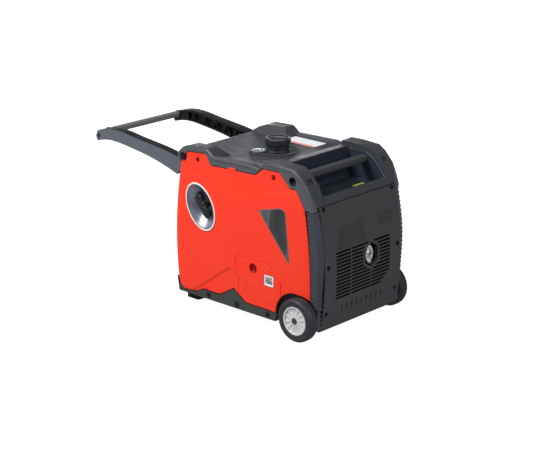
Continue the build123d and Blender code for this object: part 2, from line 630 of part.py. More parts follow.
# ---- Generator and electrics ----
def generator():
    """Crankshaft with rotor and fan, stator, inverter module and battery."""
    shaft = rod("X", (-158, 0, CRANK_Z), 248, CRANK_R - 0.02)
    shaft += rod("X", (-20, 0, CRANK_Z), 12, 46) + rod("X", (18, 0, CRANK_Z), 12, 46)
    save("crankshaft", shaft)
    rotor = rod("X", (-140, 0, CRANK_Z), 72, 92, 80) + rod("X", (-140, 0, CRANK_Z), 6, 92, CRANK_R)
    save("rotor", rotor)
    fan = rod("X", (-146, 0, CRANK_Z), 6, 60, CRANK_R)
    for blade in range(12):
        turn = Rot(30 * blade, 0, 0)
        fan += Pos(0, 0, CRANK_Z) * turn * block((-159, -140), (-1.5, 1.5), (55, 95))
    fan += rod("X", (-146, 0, CRANK_Z), 6, 95, 55)
    save("cooling_fan", fan)
    stator = rod("X", (-130, 0, CRANK_Z), 50, 45, 30)
    for pole in range(12):
        turn = Rot(30 * pole, 0, 0)
        stator += Pos(0, 0, CRANK_Z) * turn * block((-125, -85), (-8, 8), (44, 76))
    stator += rod("X", (-80, 0, CRANK_Z), 25, 45, 30)
    save("stator", stator)
    module = block((-225, -205), (-95, 95), (130, 300))
    for fin in range(9):
        y = -80 + 20 * fin
        module += block((-205, -201.5), (y - 2, y + 2), (135, 295))
    save("inverter_module", module)
    battery = block((-225, -130), (112, 180), (BASE_Z + FLOOR, 130))
    battery += rod("Z", (-205, 130, 130), 6, 6) + rod("Z", (-150, 130, 130), 6, 6)
    save("battery", battery)


# ---- Control panel ----
FACE_X = CONTROL_X + 15.0        # the control plate sits back behind its surround
KNOB = (-95.0, 395.0)
ROCKER = (0.0, 395.0)
START = (95.0, 395.0)
BREAKERS = {"left": (95.0, 330.0), "right": (-95.0, 330.0)}
DUPLEX = {"left": (80.0, 245.0), "right": (-80.0, 245.0)}
JACKS = [(-40.0, 175.0), (-15.0, 175.0)]
GROUND = (120.0, 172.0)


def on_face(y, z, proud, radius, depth=0.0):
    """A round piece on the control plate, standing out by one amount and sunk by another."""
    return rod("X", (FACE_X - proud, y, z), proud + depth, radius)


def control_plate():
    """Flat plate with openings for every control on it."""
    plate = block((FACE_X, FACE_X + 3), (-151, 151), (146, 444))
    plate -= on_face(*KNOB, 1, 8.3, 5)
    plate -= block((FACE_X - 1, FACE_X + 5), (-10.5, 10.5), (381, 409))
    plate -= on_face(*START, 1, 11.3, 5)
    for y, z in BREAKERS.values():
        plate -= on_face(y, z, 1, 6.3, 5)
    for y, z in DUPLEX.values():
        plate -= block((FACE_X - 1, FACE_X + 5), (y - 24.2, y + 24.2), (z - 37.2, z + 37.2))
    plate -= on_face(0, 245, 1, 28.2, 5)
    plate -= on_face(40, 175, 1, 14.2, 5)
    for y, z in JACKS:
        plate -= on_face(y, z, 1, 6.0, 5)
    plate -= on_face(*GROUND, 1, 3.0, 5)
    plate -= block((FACE_X - 1, FACE_X + 5), (-32.2, 32.2), (312.8, 357.2))
    return plate


def outlets():
    """Duplex outlets, the round caravan outlet and the 12 V socket, each with its slots."""
    pieces = []
    for y, z in DUPLEX.values():
        body = block((FACE_X, FACE_X + 26), (y - 24, y + 24), (z - 37, z + 37))
        for drop in (-19, 19):
            for slot in (-6.5, 6.5):
                body -= block((FACE_X - 1, FACE_X + 16), (y + slot - 1.2, y + slot + 1.2),
                              (z + drop - 2, z + drop + 6))
            body -= rod("X", (FACE_X - 1, y, z + drop - 8), 17, 2.5)
        pieces.append(body)
    caravan = on_face(0, 245, 2, 28, 30)
    for angle in (90, 210, 330):
        turn = math.radians(angle)
        caravan -= rod("X", (FACE_X - 3, 12 * math.cos(turn), 245 + 12 * math.sin(turn)), 20, 3.2)
    pieces.append(caravan)
    socket = on_face(40, 175, 2, 14, 30) - on_face(40, 175, 3, 10.5, 24)
    pieces.append(socket)
    return Compound(children=pieces)


def flap(y, z):
    """A spring lid over one duplex outlet, hinged along its top edge on a pin."""
    lid = block((FACE_X - 8, FACE_X - 5), (y - 27, y + 27), (z - 40, z + 45))
    lid += rod("Y", (FACE_X - 5.0, y - 27, z + 45), 54, 3)
    lid -= rod("Y", (FACE_X - 5.0, y - 28, z + 45), 56, 1.5 + RUNNING_GAP)
    return lid


def controls():
    """Everything on the control plate."""
    plate = control_plate()
    for y, z in DUPLEX.values():
        pin = rod("Y", (FACE_X - 5.0, y - 31, z + 45), 62, 1.5)
        ears = (block((FACE_X - 8, FACE_X), (y - 31, y - 27.4), (z + 42, z + 48))
                + block((FACE_X - 8, FACE_X), (y + 27.4, y + 31), (z + 42, z + 48)))
        plate += pin + ears
    plate += rod("Y", (FACE_X + 4, -14, ROCKER[1]), 28, 2)
    plate += block((FACE_X + 3, FACE_X + 8), (-14, -10.4), (388, 402))
    plate += block((FACE_X + 3, FACE_X + 8), (10.4, 14), (388, 402))
    save("control_plate", plate)
    save("outlets", outlets())
    for name, (y, z) in DUPLEX.items():
        save(f"outlet_flap_{name}", flap(y, z))
    knob = on_face(*KNOB, 14, 17) & block((-400, 0), (-118, -72), (350, 440))
    knob = block((FACE_X - 26, FACE_X - 14), (KNOB[0] - 4, KNOB[0] + 4), (KNOB[1] - 17, KNOB[1] + 17)) + knob
    knob += on_face(*KNOB, 1, 8, 14)
    knob -= on_face(KNOB[0], KNOB[1], 0.4, 17.5) - on_face(KNOB[0], KNOB[1], 0.4, 8)
    save("engine_switch_knob", knob)
    z = ROCKER[1]
    rocker = across([(FACE_X + 8, z - 10.5), (FACE_X - 7, z - 10.5), (FACE_X - 3.5, z),
                     (FACE_X - 2, z + 10.5), (FACE_X + 8, z + 10.5)], (-9.8, 9.8))
    rocker -= rod("Y", (FACE_X + 4, -12, z), 24, 2 + RUNNING_GAP)
    save("eco_rocker", rocker)
    save("start_button", on_face(*START, 6, 11, 14))
    for name, (y, z) in BREAKERS.items():
        save(f"breaker_button_{name}", on_face(y, z, 8, 6, 14))
    jacks = []
    for y, z in JACKS:
        jacks.append(on_face(y, z, 4, 5.8, 16) - on_face(y, z, 5, 2.05, 16))
    save("parallel_jacks", Compound(children=jacks))
    stud = on_face(*GROUND, 18, 2.9, 14) + on_face(*GROUND, 3, 6)
    save("ground_stud", stud)
    save("display_lens", block((FACE_X - 1, FACE_X + 4), (-32, 32), (313, 357)))


def main():
    """Builds and writes every sub-part."""
    os.makedirs("parts", exist_ok=True)
    casings()
    handle()
    running_gear()
    starter()
    fuel_system()
    engine()
    generator()
    controls()


main()
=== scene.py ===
import bpy
import bmesh
import math
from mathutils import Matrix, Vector


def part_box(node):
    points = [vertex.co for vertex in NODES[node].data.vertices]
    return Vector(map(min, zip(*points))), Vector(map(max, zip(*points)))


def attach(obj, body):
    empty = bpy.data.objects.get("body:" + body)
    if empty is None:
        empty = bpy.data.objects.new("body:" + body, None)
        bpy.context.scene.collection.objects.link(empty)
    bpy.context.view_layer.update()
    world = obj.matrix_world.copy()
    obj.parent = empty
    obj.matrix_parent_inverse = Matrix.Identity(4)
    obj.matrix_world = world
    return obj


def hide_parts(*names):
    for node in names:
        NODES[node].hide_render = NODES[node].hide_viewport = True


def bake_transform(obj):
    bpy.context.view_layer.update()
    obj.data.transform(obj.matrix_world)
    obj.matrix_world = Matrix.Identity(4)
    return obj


# Closed-frame inverter generator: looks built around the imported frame. Positions below are in
# millimetres measured along X from the middle of the body, as in the frame's own design, and
# at() turns them into the frame's metres.
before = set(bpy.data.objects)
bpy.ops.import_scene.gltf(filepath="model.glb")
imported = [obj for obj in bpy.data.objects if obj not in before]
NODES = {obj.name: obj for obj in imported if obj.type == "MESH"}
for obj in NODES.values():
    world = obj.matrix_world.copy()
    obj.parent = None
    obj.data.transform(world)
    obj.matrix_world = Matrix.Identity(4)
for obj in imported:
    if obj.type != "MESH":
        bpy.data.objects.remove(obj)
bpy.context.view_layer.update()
BODY_X = 0.182
SMALL_RADIUS = 0.0008            # metres, on small moulded pieces
COVER_RADIUS = 0.0012            # metres, on the frame's own nodes
HARD_EDGE = 32.0                 # degrees, sharper edges are rounded


def at(x, y, z):
    """A point of the frame, in metres."""
    return Vector((x / 1000 + BODY_X, y / 1000, z / 1000))


# ---- Material tools ----
def srgb(red, green, blue):
    """Linear colour from 0-255 display values."""
    def channel(value):
        value /= 255
        return value / 12.92 if value <= 0.04045 else ((value + 0.055) / 1.055) ** 2.4
    return (channel(red), channel(green), channel(blue), 1.0)


def scaled(colour, factor):
    """The same colour, lighter or darker."""
    return tuple(min(1.0, part * factor) for part in colour[:3]) + (1.0,)


class Nodes:
    """Adds and links the shader nodes of one material."""

    def __init__(self, name):
        self.material = bpy.data.materials.new(name)
        self.material.use_nodes = True
        self.tree = self.material.node_tree
        self.shader = self.tree.nodes["Principled BSDF"]
        self.space = self.add("ShaderNodeTexCoord")

    def add(self, kind, **values):
        node = self.tree.nodes.new(kind)
        for key, value in values.items():
            if hasattr(node, key):
                setattr(node, key, value)
            else:
                node.inputs[key].default_value = value
        return node

    def link(self, start, end):
        self.tree.links.new(start, end)

    def place(self, stretch=(1, 1, 1), turn=(0, 0, 0)):
        """The object's own metres, stretched or turned."""
        place = self.add("ShaderNodeMapping")
        place.inputs["Scale"].default_value = stretch
        place.inputs["Rotation"].default_value = turn
        self.link(self.space.outputs["Object"], place.inputs["Vector"])
        return place.outputs["Vector"]

    def noise(self, scale, detail=3.0, roughness=0.5, stretch=(1, 1, 1)):
        """Noise in the object's own metres."""
        texture = self.add("ShaderNodeTexNoise", Scale=scale, Detail=detail, Roughness=roughness)
        self.link(self.place(stretch), texture.inputs["Vector"])
        return texture.outputs["Fac"]

    def ramp(self, value, stops):
        """A colour ramp through (position, colour) stops."""
        ramp = self.add("ShaderNodeValToRGB")
        while len(ramp.color_ramp.elements) < len(stops):
            ramp.color_ramp.elements.new(0.5)
        for element, (position, colour) in zip(ramp.color_ramp.elements, stops):
            element.position = position
            element.color = colour
        self.link(value, ramp.inputs["Fac"])
        return ramp.outputs["Color"]

    def between(self, value, low, high):
        """The busy part of a noise mapped to low-high."""
        limits = {"From Min": 0.3, "From Max": 0.7, "To Min": low, "To Max": high}
        span = self.add("ShaderNodeMapRange", **limits)
        self.link(value, span.inputs["Value"])
        return span.outputs["Result"]

    def bump(self, heights):
        """Bumps from (value, strength, distance) layers, each on top of the one before."""
        last = None
        for value, strength, distance in heights:
            layer = self.add("ShaderNodeBump", Strength=strength, Distance=distance)
            self.link(value, layer.inputs["Height"])
            if last:
                self.link(last, layer.inputs["Normal"])
            last = layer.outputs["Normal"]
        self.link(last, self.shader.inputs["Normal"])


def moulded(name, colour, rough, grain=1400.0, depth=0.00006, spread=0.08, coat=0.0, sheen=0.25):
    """Moulded plastic: fine spark-eroded grain, soft tone changes, dusty and rubbed patches."""
    nodes = Nodes(name)
    shader = nodes.shader
    colour = srgb(*colour)
    broad = nodes.noise(6.0, 4.0, 0.6)
    base = nodes.ramp(broad, [(0.25, scaled(colour, 1 - spread)), (0.5, colour),
                              (0.8, scaled(colour, 1 + spread))])
    nodes.link(base, shader.inputs["Base Color"])
    streak = nodes.noise(30.0, 5.0, 0.65, (1.0, 1.0, 0.35))
    nodes.link(nodes.between(streak, rough - 0.07, rough + 0.07), shader.inputs["Roughness"])
    fine = nodes.noise(grain, 2.0, 0.6)
    waves = nodes.noise(9.0, 1.0, 0.4)
    nodes.bump([(waves, 0.10, 0.003), (fine, 0.35, depth)])
    shader.inputs["Specular IOR Level"].default_value = sheen
    shader.inputs["Coat Weight"].default_value = coat
    shader.inputs["Coat Roughness"].default_value = 0.12
    return nodes.material


def shaded_two_tone(name, outer, inner, split, rough, sheen=0.25):
    """Moulded plastic with painted shade: a darker tone inside a pocket and on upward faces than on its
    outer face.
    """
    nodes = Nodes(name)
    shader = nodes.shader
    apart = nodes.add("ShaderNodeSeparateXYZ")
    nodes.link(nodes.space.outputs["Object"], apart.inputs["Vector"])
    side = nodes.add("ShaderNodeMath", operation="ABSOLUTE")
    nodes.link(apart.outputs["Y"], side.inputs[0])
    facing = nodes.add("ShaderNodeSeparateXYZ")
    nodes.link(nodes.space.outputs["Normal"], facing.inputs["Vector"])
    # Upward faces count as further inside, so tops get the painted shade.
    upward_shade = nodes.add("ShaderNodeMath", operation="MULTIPLY")
    nodes.link(facing.outputs["Z"], upward_shade.inputs[0])
    upward_shade.inputs[1].default_value = 0.05
    level = nodes.add("ShaderNodeMath", operation="SUBTRACT")
    nodes.link(side.outputs["Value"], level.inputs[0])
    nodes.link(upward_shade.outputs["Value"], level.inputs[1])
    span = nodes.add("ShaderNodeMapRange", **{"From Min": split - 0.004, "From Max": split + 0.004})
    nodes.link(level.outputs["Value"], span.inputs["Value"])
    tones = nodes.ramp(span.outputs["Result"], [(0.0, srgb(*inner)), (1.0, srgb(*outer))])
    nodes.link(tones, shader.inputs["Base Color"])
    gloss = nodes.between(nodes.noise(30, 5), rough - 0.07, rough + 0.07)
    nodes.link(gloss, shader.inputs["Roughness"])
    nodes.bump([(nodes.noise(9, 1), 0.10, 0.003), (nodes.noise(1400, 2), 0.35, 0.00006)])
    shader.inputs["Specular IOR Level"].default_value = sheen
    return nodes.material


def metal(name, colour, rough, brush=(1, 1, 1), depth=0.00005, spread=0.12):
    """Bare or plated metal with directional brushing and tone changes."""
    nodes = Nodes(name)
    shader = nodes.shader
    colour = srgb(*colour)
    lines = nodes.noise(260.0, 4.0, 0.7, brush)
    stops = [(0.3, scaled(colour, 1 - spread)), (0.7, scaled(colour, 1 + spread))]
    nodes.link(nodes.ramp(lines, stops), shader.inputs["Base Color"])
    nodes.link(nodes.between(nodes.noise(40.0, 4.0, 0.6), rough - 0.08, rough + 0.1),
               shader.inputs["Roughness"])
    nodes.bump([(lines, 0.3, depth)])
    shader.inputs["Metallic"].default_value = 1.0
    return nodes.material


def film_with_print_and_sheen(name, stops, scale, stretch=(1, 1, 1), turn=(0, 0, 0), rough=0.4):
    """A thin printed film with a soft tone pattern; on the badge its stretched light streaks are a
    painted reflection.
    """
    nodes = Nodes(name)
    texture = nodes.add("ShaderNodeTexNoise", Scale=scale, Detail=2.0, Roughness=0.5)
    nodes.link(nodes.place(stretch, turn), texture.inputs["Vector"])
    stops = [(place, srgb(*colour)) for place, colour in stops]
    nodes.link(nodes.ramp(texture.outputs["Fac"], stops), nodes.shader.inputs["Base Color"])
    nodes.link(nodes.between(nodes.noise(60, 3), rough - 0.05, rough + 0.08),
               nodes.shader.inputs["Roughness"])
    nodes.bump([(nodes.noise(500, 2), 0.2, 0.00003)])
    return nodes.material


# ---- Mesh tools ----
AXES = {                         # across, up and along
    "X": ((0, 1, 0), (0, 0, 1), (1, 0, 0)),
    "-X": ((0, -1, 0), (0, 0, 1), (-1, 0, 0)),
    "Y": ((-1, 0, 0), (0, 0, 1), (0, 1, 0)),
    "-Y": ((1, 0, 0), (0, 0, 1), (0, -1, 0)),
    "Z": ((1, 0, 0), (0, 1, 0), (0, 0, 1)),
}
PUT = {"X": lambda a, b, d: (d, a, b), "Y": lambda a, b, d: (a, d, b), "Z": lambda a, b, d: (a, b, d)}
SIDES = ((-1, "-Y"), (1, "Y"))   # starter side and filter side
TRIM = ("housing", "charcoal_plastic")    # body and slot of the dark trim


def add_piece(name, mesh, look, body, slot, replaces=()):
    """Puts a mesh in the scene with its material, body and the nodes it stands for; the slot argument is
    not used.
    """
    item = bpy.data.objects.new(name, mesh)
    bpy.context.scene.collection.objects.link(item)
    mesh.materials.clear()
    mesh.materials.append(MATERIALS[look])
    for face in mesh.polygons:
        face.use_smooth = True
    if body:
        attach(item, body)
    if replaces:
        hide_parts(*replaces)
    return item


def mesh_from(name, points, faces):
    """A mesh from millimetre points."""
    work = bmesh.new()
    corners = [work.verts.new(at(*point)) for point in points]
    for face in faces:
        work.faces.new([corners[index] for index in face])
    return finished_mesh(name, work)


def finished_mesh(name, work):
    """A mesh from the working mesh, with its normals turned outwards."""
    bmesh.ops.recalc_face_normals(work, faces=work.faces)
    mesh = bpy.data.meshes.new(name)
    work.to_mesh(mesh)
    work.free()
    return mesh


def soften(piece, radius):
    """Rounds the hard edges of a piece as its mould would."""
    weld = piece.modifiers.new("weld", "WELD")
    weld.merge_threshold = 0.00002
    bevel = piece.modifiers.new("radius", "BEVEL")
    bevel.width = radius
    bevel.segments = 2
    bevel.limit_method = "ANGLE"
    bevel.angle_limit = math.radians(HARD_EDGE)
    for face in piece.data.polygons:
        face.use_smooth = True
    piece.modifiers.new("normals", "WEIGHTED_NORMAL")
    return piece


def joined_mesh(name, parts):
    """One mesh from several (points, faces) parts."""
    points, faces = [], []
    for part_points, part_faces in parts:
        start = len(points)
        points += part_points
        faces += [[index + start for index in face] for face in part_faces]
    return mesh_from(name, points, faces)


def add_group(name, parts, look, body, slot, replaces=()):
    """One piece made of several (points, faces) parts."""
    return add_piece(name, joined_mesh(name, parts), look, body, slot, replaces)


def loft_faces(loops, count, closed=False):
    """Faces between loops of points, joined end to end when closed and capped when not."""
    faces = []
    for loop in range(loops if closed else loops - 1):
        here, there = loop * count, (loop + 1) % loops * count
        for k in range(count):
            after = (k + 1) % count
            faces.append([here + k, here + after, there + after, there + k])
    if not closed:
        faces.append(list(range(count)))
        faces.append([(loops - 1) * count + k for k in range(count)])
    return faces


def rectangle(low_a, high_a, low_b, high_b):
    """The four corners of a rectangle."""
    return [(low_a, low_b), (high_a, low_b), (high_a, high_b), (low_a, high_b)]


def prism_part(outline, axis, low, high):
    """Points and faces of a flat outline carried between two positions along X, Y or Z."""
    put = PUT[axis]
    count = len(outline)
    points = [put(a, b, low) for a, b in outline] + [put(a, b, high) for a, b in outline]
    faces = [list(range(count)), list(range(count, 2 * count))]
    for k in range(count):
        after = (k + 1) % count
        faces.append([k, after, count + after, count + k])
    return points, faces


def prism(name, outline, axis, low, high, look, body, slot, replaces=(), radius=0.0006):
    """A moulded piece with a constant section."""
    mesh = mesh_from(name, *prism_part(outline, axis, low, high))
    return soften(add_piece(name, mesh, look, body, slot, replaces), radius)


def turned_part(profile, centre, axis, segments=72, shape=None):
    """Points and faces of a closed (radius, height) profile turned about an axis."""
    across, up, along = map(Vector, AXES[axis])
    middle = Vector(centre)
    points = []
    for k in range(segments):
        angle = math.tau * k / segments
        for radius, height in profile:
            if shape:
                radius, height = shape(radius, height, angle)
            spot = middle + along * height + (across * math.cos(angle) + up * math.sin(angle)) * radius
            points.append(tuple(spot))
    return points, loft_faces(segments, len(profile), True)


def turned_pair(profile, x, y, z, segments):
    """The same turned part on both sides of the object, facing outwards."""
    return [turned_part(profile, (x, side * y, z), axis, segments) for side, axis in SIDES]


def turned(name, profile, centre, axis, look, body, slot, replaces=(), segments=72, shape=None):
    """A turned piece; profile radii stay above zero, so a solid one ends in a tiny centre hole."""
    mesh = mesh_from(name, *turned_part(profile, centre, axis, segments, shape))
    piece = add_piece(name, mesh, look, body, slot, replaces)
    piece.modifiers.new("normals", "WEIGHTED_NORMAL")
    return piece


def rounded(corners, radius, steps=5):
    """An outline with each corner turned into a small arc."""
    result = []
    count = len(corners)
    for k in range(count):
        here = Vector(corners[k])
        before = (Vector(corners[k - 1]) - here)
        after = (Vector(corners[(k + 1) % count]) - here)
        reach = min(radius, before.length / 2, after.length / 2)
        start, end = here + before.normalized() * reach, here + after.normalized() * reach
        for step in range(steps + 1):
            share = step / steps
            first, second = start.lerp(here, share), here.lerp(end, share)
            result.append(tuple(first.lerp(second, share)))
    return result


def smooth_step(value):
    """0 below 0, 1 above 1 and a soft rise between."""
    value = max(0.0, min(1.0, value))
    return value * value * (3 - 2 * value)


def height_on(line, x):
    """Height of a polyline of (x, z) points at x, flat beyond its ends."""
    for (x0, z0), (x1, z1) in zip(line, line[1:]):
        if x0 <= x <= x1:
            return z0 + (z1 - z0) * (x - x0) / (x1 - x0)
    return line[0][1] if x < line[0][0] else line[-1][1]


# ---- Red side panels ----
PANEL_FACE = 211.0
PANEL_BACK = 206.0
LOWER_CREASE = [(-228, 52), (-58, 168), (-45, 165), (128, 86)]
UPPER_CREASE = [(-300, 474), (-268, 468), (-26, 412), (174, 470), (300, 478)]
FRONT_CREASE = [(148, -302), (190, -257), (252, -277)]      # Z first, then X
UPPER_CREASE_WIDTH = 13.0
PANEL_GRID = 9.0
PANEL_ROUNDING = 1.2
HATCH_GROOVE_Z = 190.0
FRONT_ROLL = (30, 3.2)         # reach and depth of the rolled front edge
REAR_ROLL = (22, 3.4)
FRONT_DENT = (36, 2.2)         # reach and depth behind the front crease
MAX_RECESS = 4.0
SIDE_TOP = [(264, 420), (245, 455), (223, 479), (202, 478), (187, 493), (158, 521), (89, 519),
            (59, 494), (-132, 488), (-141, 493), (-151, 512), (-163, 521), (-238, 515), (-249, 502),
            (-264, 493)]
SIDE_BOTTOM = [(-279, 59), (-263, 47), (-205, 49), (-178, 64), (-102, 64), (-40, 100), (14, 65),
               (145, 64)]
SEAM_WIDTH = 2.8
SEAM_Y = (205.4, 207)


def front_edge(z):
    """X of the panel's bowed front edge at a height."""
    return -289 - 0.03226 * (z - 84) + 0.00041875 * (z - 84) * (z - 270)


def rear_edge(z):
    """X of the panel's bowed rear edge at a height."""
    return 286 - 0.02 * (z - 143) - 0.00022 * (z - 143) * (z - 300)


def recess(x, z):
    """How far the panel's face lies behind its highest plane, in millimetres."""
    deep = 0.0
    dent = 0.0
    crease_z = height_on(LOWER_CREASE, x)
    if x < LOWER_CREASE[1][0]:
        step, width = 4.0, 9 + 5 * smooth_step((-60 - x) / 150)
    else:
        step, width = 3.8 - 1.0 * smooth_step((x + 45) / 175), 5.5
    if x < LOWER_CREASE[-1][0]:
        deep = max(deep, step * smooth_step((crease_z - z) / width))
    above = z - height_on(UPPER_CREASE, x)
    if above > -UPPER_CREASE_WIDTH:
        fade = smooth_step(max(-50 - x, x - 30) / 80)
        deep = max(deep, 0.4 + 3.6 * fade * smooth_step(above / UPPER_CREASE_WIDTH + 1))
    if FRONT_CREASE[0][0] < z < FRONT_CREASE[-1][0]:
        line_x = height_on(FRONT_CREASE, z)
        ends = smooth_step((z - FRONT_CREASE[0][0]) / 25) * smooth_step((FRONT_CREASE[-1][0] - z) / 30)
        if x < line_x:
            dent = FRONT_DENT[1] * ends * smooth_step(1 - (line_x - x) / 4)
        elif x < line_x + FRONT_DENT[0]:
            dent = FRONT_DENT[1] * ends * (1 - (x - line_x) / FRONT_DENT[0]) ** 2
    inside = x - front_edge(z)
    if inside < FRONT_ROLL[0]:
        deep = max(deep, FRONT_ROLL[1] * (1 - max(0.0, inside) / FRONT_ROLL[0]) ** 2)
    deep += dent
    behind = rear_edge(z) - x
    if behind < REAR_ROLL[0]:
        deep = max(deep, REAR_ROLL[1] * (1 - max(0.0, behind) / REAR_ROLL[0]) ** 2)
    if abs(z - HATCH_GROOVE_Z) < 1.2 and -26 < x < 33:
        deep += 1.0
    return min(deep, MAX_RECESS)


def on_panel_face(corner):
    """Whether a mesh corner lies on the flat outer face of a side panel."""
    return abs(abs(corner.co.y) * 1000 - PANEL_FACE) < 0.3


def sculpted_panel(name, node):
    """The node's own outline and holes, with the creased and rounded face of the real moulding."""
    work = bmesh.new()
    work.from_mesh(NODES[node].data)
    bmesh.ops.remove_doubles(work, verts=work.verts, dist=0.00002)
    low, high = (corner * 1000 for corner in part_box(node))
    cuts = []
    for axis in (0, 2):
        normal = Vector((axis == 0, 0, axis == 2))
        for k in range(1, int((high[axis] - low[axis]) / PANEL_GRID)):
            cuts.append((normal * (low[axis] / 1000 + k * PANEL_GRID / 1000), normal))
    for z in (-1.3, -1.1, 1.1, 1.3):
        cuts.append((at(0, 0, HATCH_GROOVE_Z + z), Vector((0, 0, 1))))
    front = [(x, z) for z, x in FRONT_CREASE]
    for line, offsets in ((LOWER_CREASE, (0.0, -2.5, -5.0, -9.0, -14.0)),
                          (UPPER_CREASE, (0.0, -4.0, -8.0, -12.0, -16.0)),
                          (front, (4.0, 2.0, 0.0, -6.0, -14.0))):
        for start, end in zip(line, line[1:]):
            along = Vector((end[0] - start[0], 0, end[1] - start[1])).normalized()
            normal = Vector((-along.z, 0, along.x))
            for offset in offsets:
                cuts.append((at(start[0], 0, start[1]) + normal * offset / 1000, normal))
    for place, normal in cuts:
        everything = work.verts[:] + work.edges[:] + work.faces[:]
        bmesh.ops.bisect_plane(work, geom=everything, dist=0.00001, plane_co=place, plane_no=normal)
    bmesh.ops.remove_doubles(work, verts=work.verts, dist=0.00025)
    outer = [face for face in work.faces if all(on_panel_face(corner) for corner in face.verts)]
    bmesh.ops.inset_region(work, faces=outer, thickness=PANEL_ROUNDING / 1000,
                           use_even_offset=True, use_boundary=True)
    inner = {corner for face in outer for corner in face.verts}
    thickness = PANEL_FACE - PANEL_BACK
    for corner in work.verts:
        deep = recess((corner.co.x - BODY_X) * 1000, corner.co.z * 1000)
        if corner not in inner:
            deep += PANEL_ROUNDING * 0.7
        share = min(1.0, (abs(corner.co.y) * 1000 - PANEL_BACK) / thickness)
        corner.co.y = math.copysign((PANEL_BACK + share * (thickness - deep)) / 1000, corner.co.y)
    piece = add_piece(name, finished_mesh(name, work), "red", "housing", "red_plastic", (node,))
    normals = piece.modifiers.new("normals", "WEIGHTED_NORMAL")
    normals.keep_sharp = True
    return piece


def red_panels():
    """Both side panels, their hatches, the clip on the upper edge and the screw cups."""
    sculpted_panel("starter_side_panel", "starter_side_cover")
    sculpted_panel("filter_side_panel", "filter_side_cover")
    sculpted_panel("service_hatch_panels", "service_hatches")
    tab = rounded([(-60, 484), (-55, 499), (-27, 500), (-21, 484)], 4)
    gap = [(-21, 486), (-24, 498), (-14, 497), (-14, 486)]
    parts = [prism_part(tab, "Y", side * 208.5, side * 211.3) for side in (-1, 1)]
    soften(add_group("panel_clips", parts, "red", "housing", "red_plastic"), SMALL_RADIUS)
    # A near-black piece in the gap beside each clip: painted shade.
    parts = [prism_part(gap, "Y", side * 207.8, side * 209.6) for side in (-1, 1)]
    add_group("panel_clip_gap_shade", parts, "black", *TRIM)
    profile = [(15.9, 0.2), (14.8, -0.3), (12.5, -5), (0.3, -5.4), (0.3, -7), (15.9, -6.4)]
    cups = turned_pair(profile, HATCH_SCREW[0], 210.0, HATCH_SCREW[1], 48)
    add_group("hatch_screw_cups", cups, "deep_red", "housing", "red_plastic")


def seam_parts(line, side):
    """Short flat runs beside a line of X and Z points, as wide as the gap around a side panel."""
    parts = []
    for (x0, z0), (x1, z1) in zip(line, line[1:]):
        along = Vector((x1 - x0, z1 - z0)).normalized()
        away = Vector((along.y, -along.x)) * SEAM_WIDTH
        start, end = Vector((x0, z0)) - along * 0.6, Vector((x1, z1)) + along * 0.6
        outline = [tuple(start), tuple(end), tuple(end + away), tuple(start + away)]
        parts.append(prism_part(outline, "Y", side * SEAM_Y[0], side * SEAM_Y[1]))
    return parts


def panel_seams():
    """The black shadow line where each side panel meets the covers around it."""
    rear = [(rear_edge(z), z) for z in range(150, 421, 15)]
    parts = []
    for side in (-1, 1):
        for line in (SIDE_TOP, SIDE_BOTTOM, rear):
            parts += seam_parts(line, side)
    add_group("panel_seams", parts, "shadow", *TRIM)


def film(name, corners, corner_radius, axis, low, high, look, slot="hub_silver"):
    """A thin sticker with rounded corners and no lettering."""
    prism(name, rounded(corners, corner_radius), axis, low, high, look, "housing", slot, radius=0.0001)


def decals():
    """Dark triangular side badges without lettering, and plain stickers."""
    corners = [(72, 386), (168, 411), (187, 402), (205, 231)]
    inner = rounded([(76, 384.5), (168, 408), (184, 400.5), (201, 242)], 7)
    for side, label in ((-1, "starter"), (1, "filter")):
        prism(f"badge_edge_{label}_side", rounded(corners, 8), "Y", side * 210.6, side * 211.35,
              "badge_edge", *TRIM, radius=0.0002)
        prism(f"badge_{label}_side", inner, "Y", side * 210.8, side * 211.6,
              "badge", *TRIM, radius=0.0002)
    film("sticker_edge", rectangle(97, 138, 144, 181), 3, "Y", -211.1, -210.6, "label_grey")
    film("sticker", rectangle(99, 136, 146, 179), 2, "Y", -211.35, -210.6, "label_white")
    film("sticker_patch", rectangle(103, 132, 152, 176), 3, "Y", -211.6, -211.2, "label_print")
    film("top_label", rectangle(-132, 12, 126, 181), 3, "Z", 509.9, 510.5, "label_white")
    film("top_label_band", rectangle(-132, 12, 116, 129), 2, "Z", 509.9, 510.6, "label_orange")
    film("recess_label", rectangle(217, 240, 68, 120), 3, "Z", 431.9, 432.7, "label_yellow",
         "button_yellow")


# ---- Wheels ----
WHEEL_X = 249.0
WHEEL_Z = 70.0
HUB_SECTORS = 12


def tyre_profile():
    """Solid rubber tyre: rounded shoulders, a moulded ring on each flank and tread grooves."""
    flank = [(47, 17.5), (49, 18.9), (52.5, 19.3), (53.2, 18.4), (55, 18.4), (55.8, 19.5),
             (59.5, 19.6), (63.5, 18.6), (67, 15.8), (69.2, 11.8), (69.9, 7.6)]
    groove = [(69.95, 7.4), (68.6, 6.8), (68.6, 5.4), (69.95, 4.8)]
    half = flank + groove
    return half + [(radius, -height) for radius, height in reversed(half)]


def hub_face(radius, height, angle):
    """Radial facets pressed into the outer face of the wheel disc."""
    if height > 10 and 11 < radius < 40:
        sector = (angle * HUB_SECTORS / (math.tau)) % 1.0
        ridge = 1 - abs(2 * sector - 1)
        height -= 3.4 * (1 - ridge) * smooth_step((radius - 11) / 12)
    return radius, height


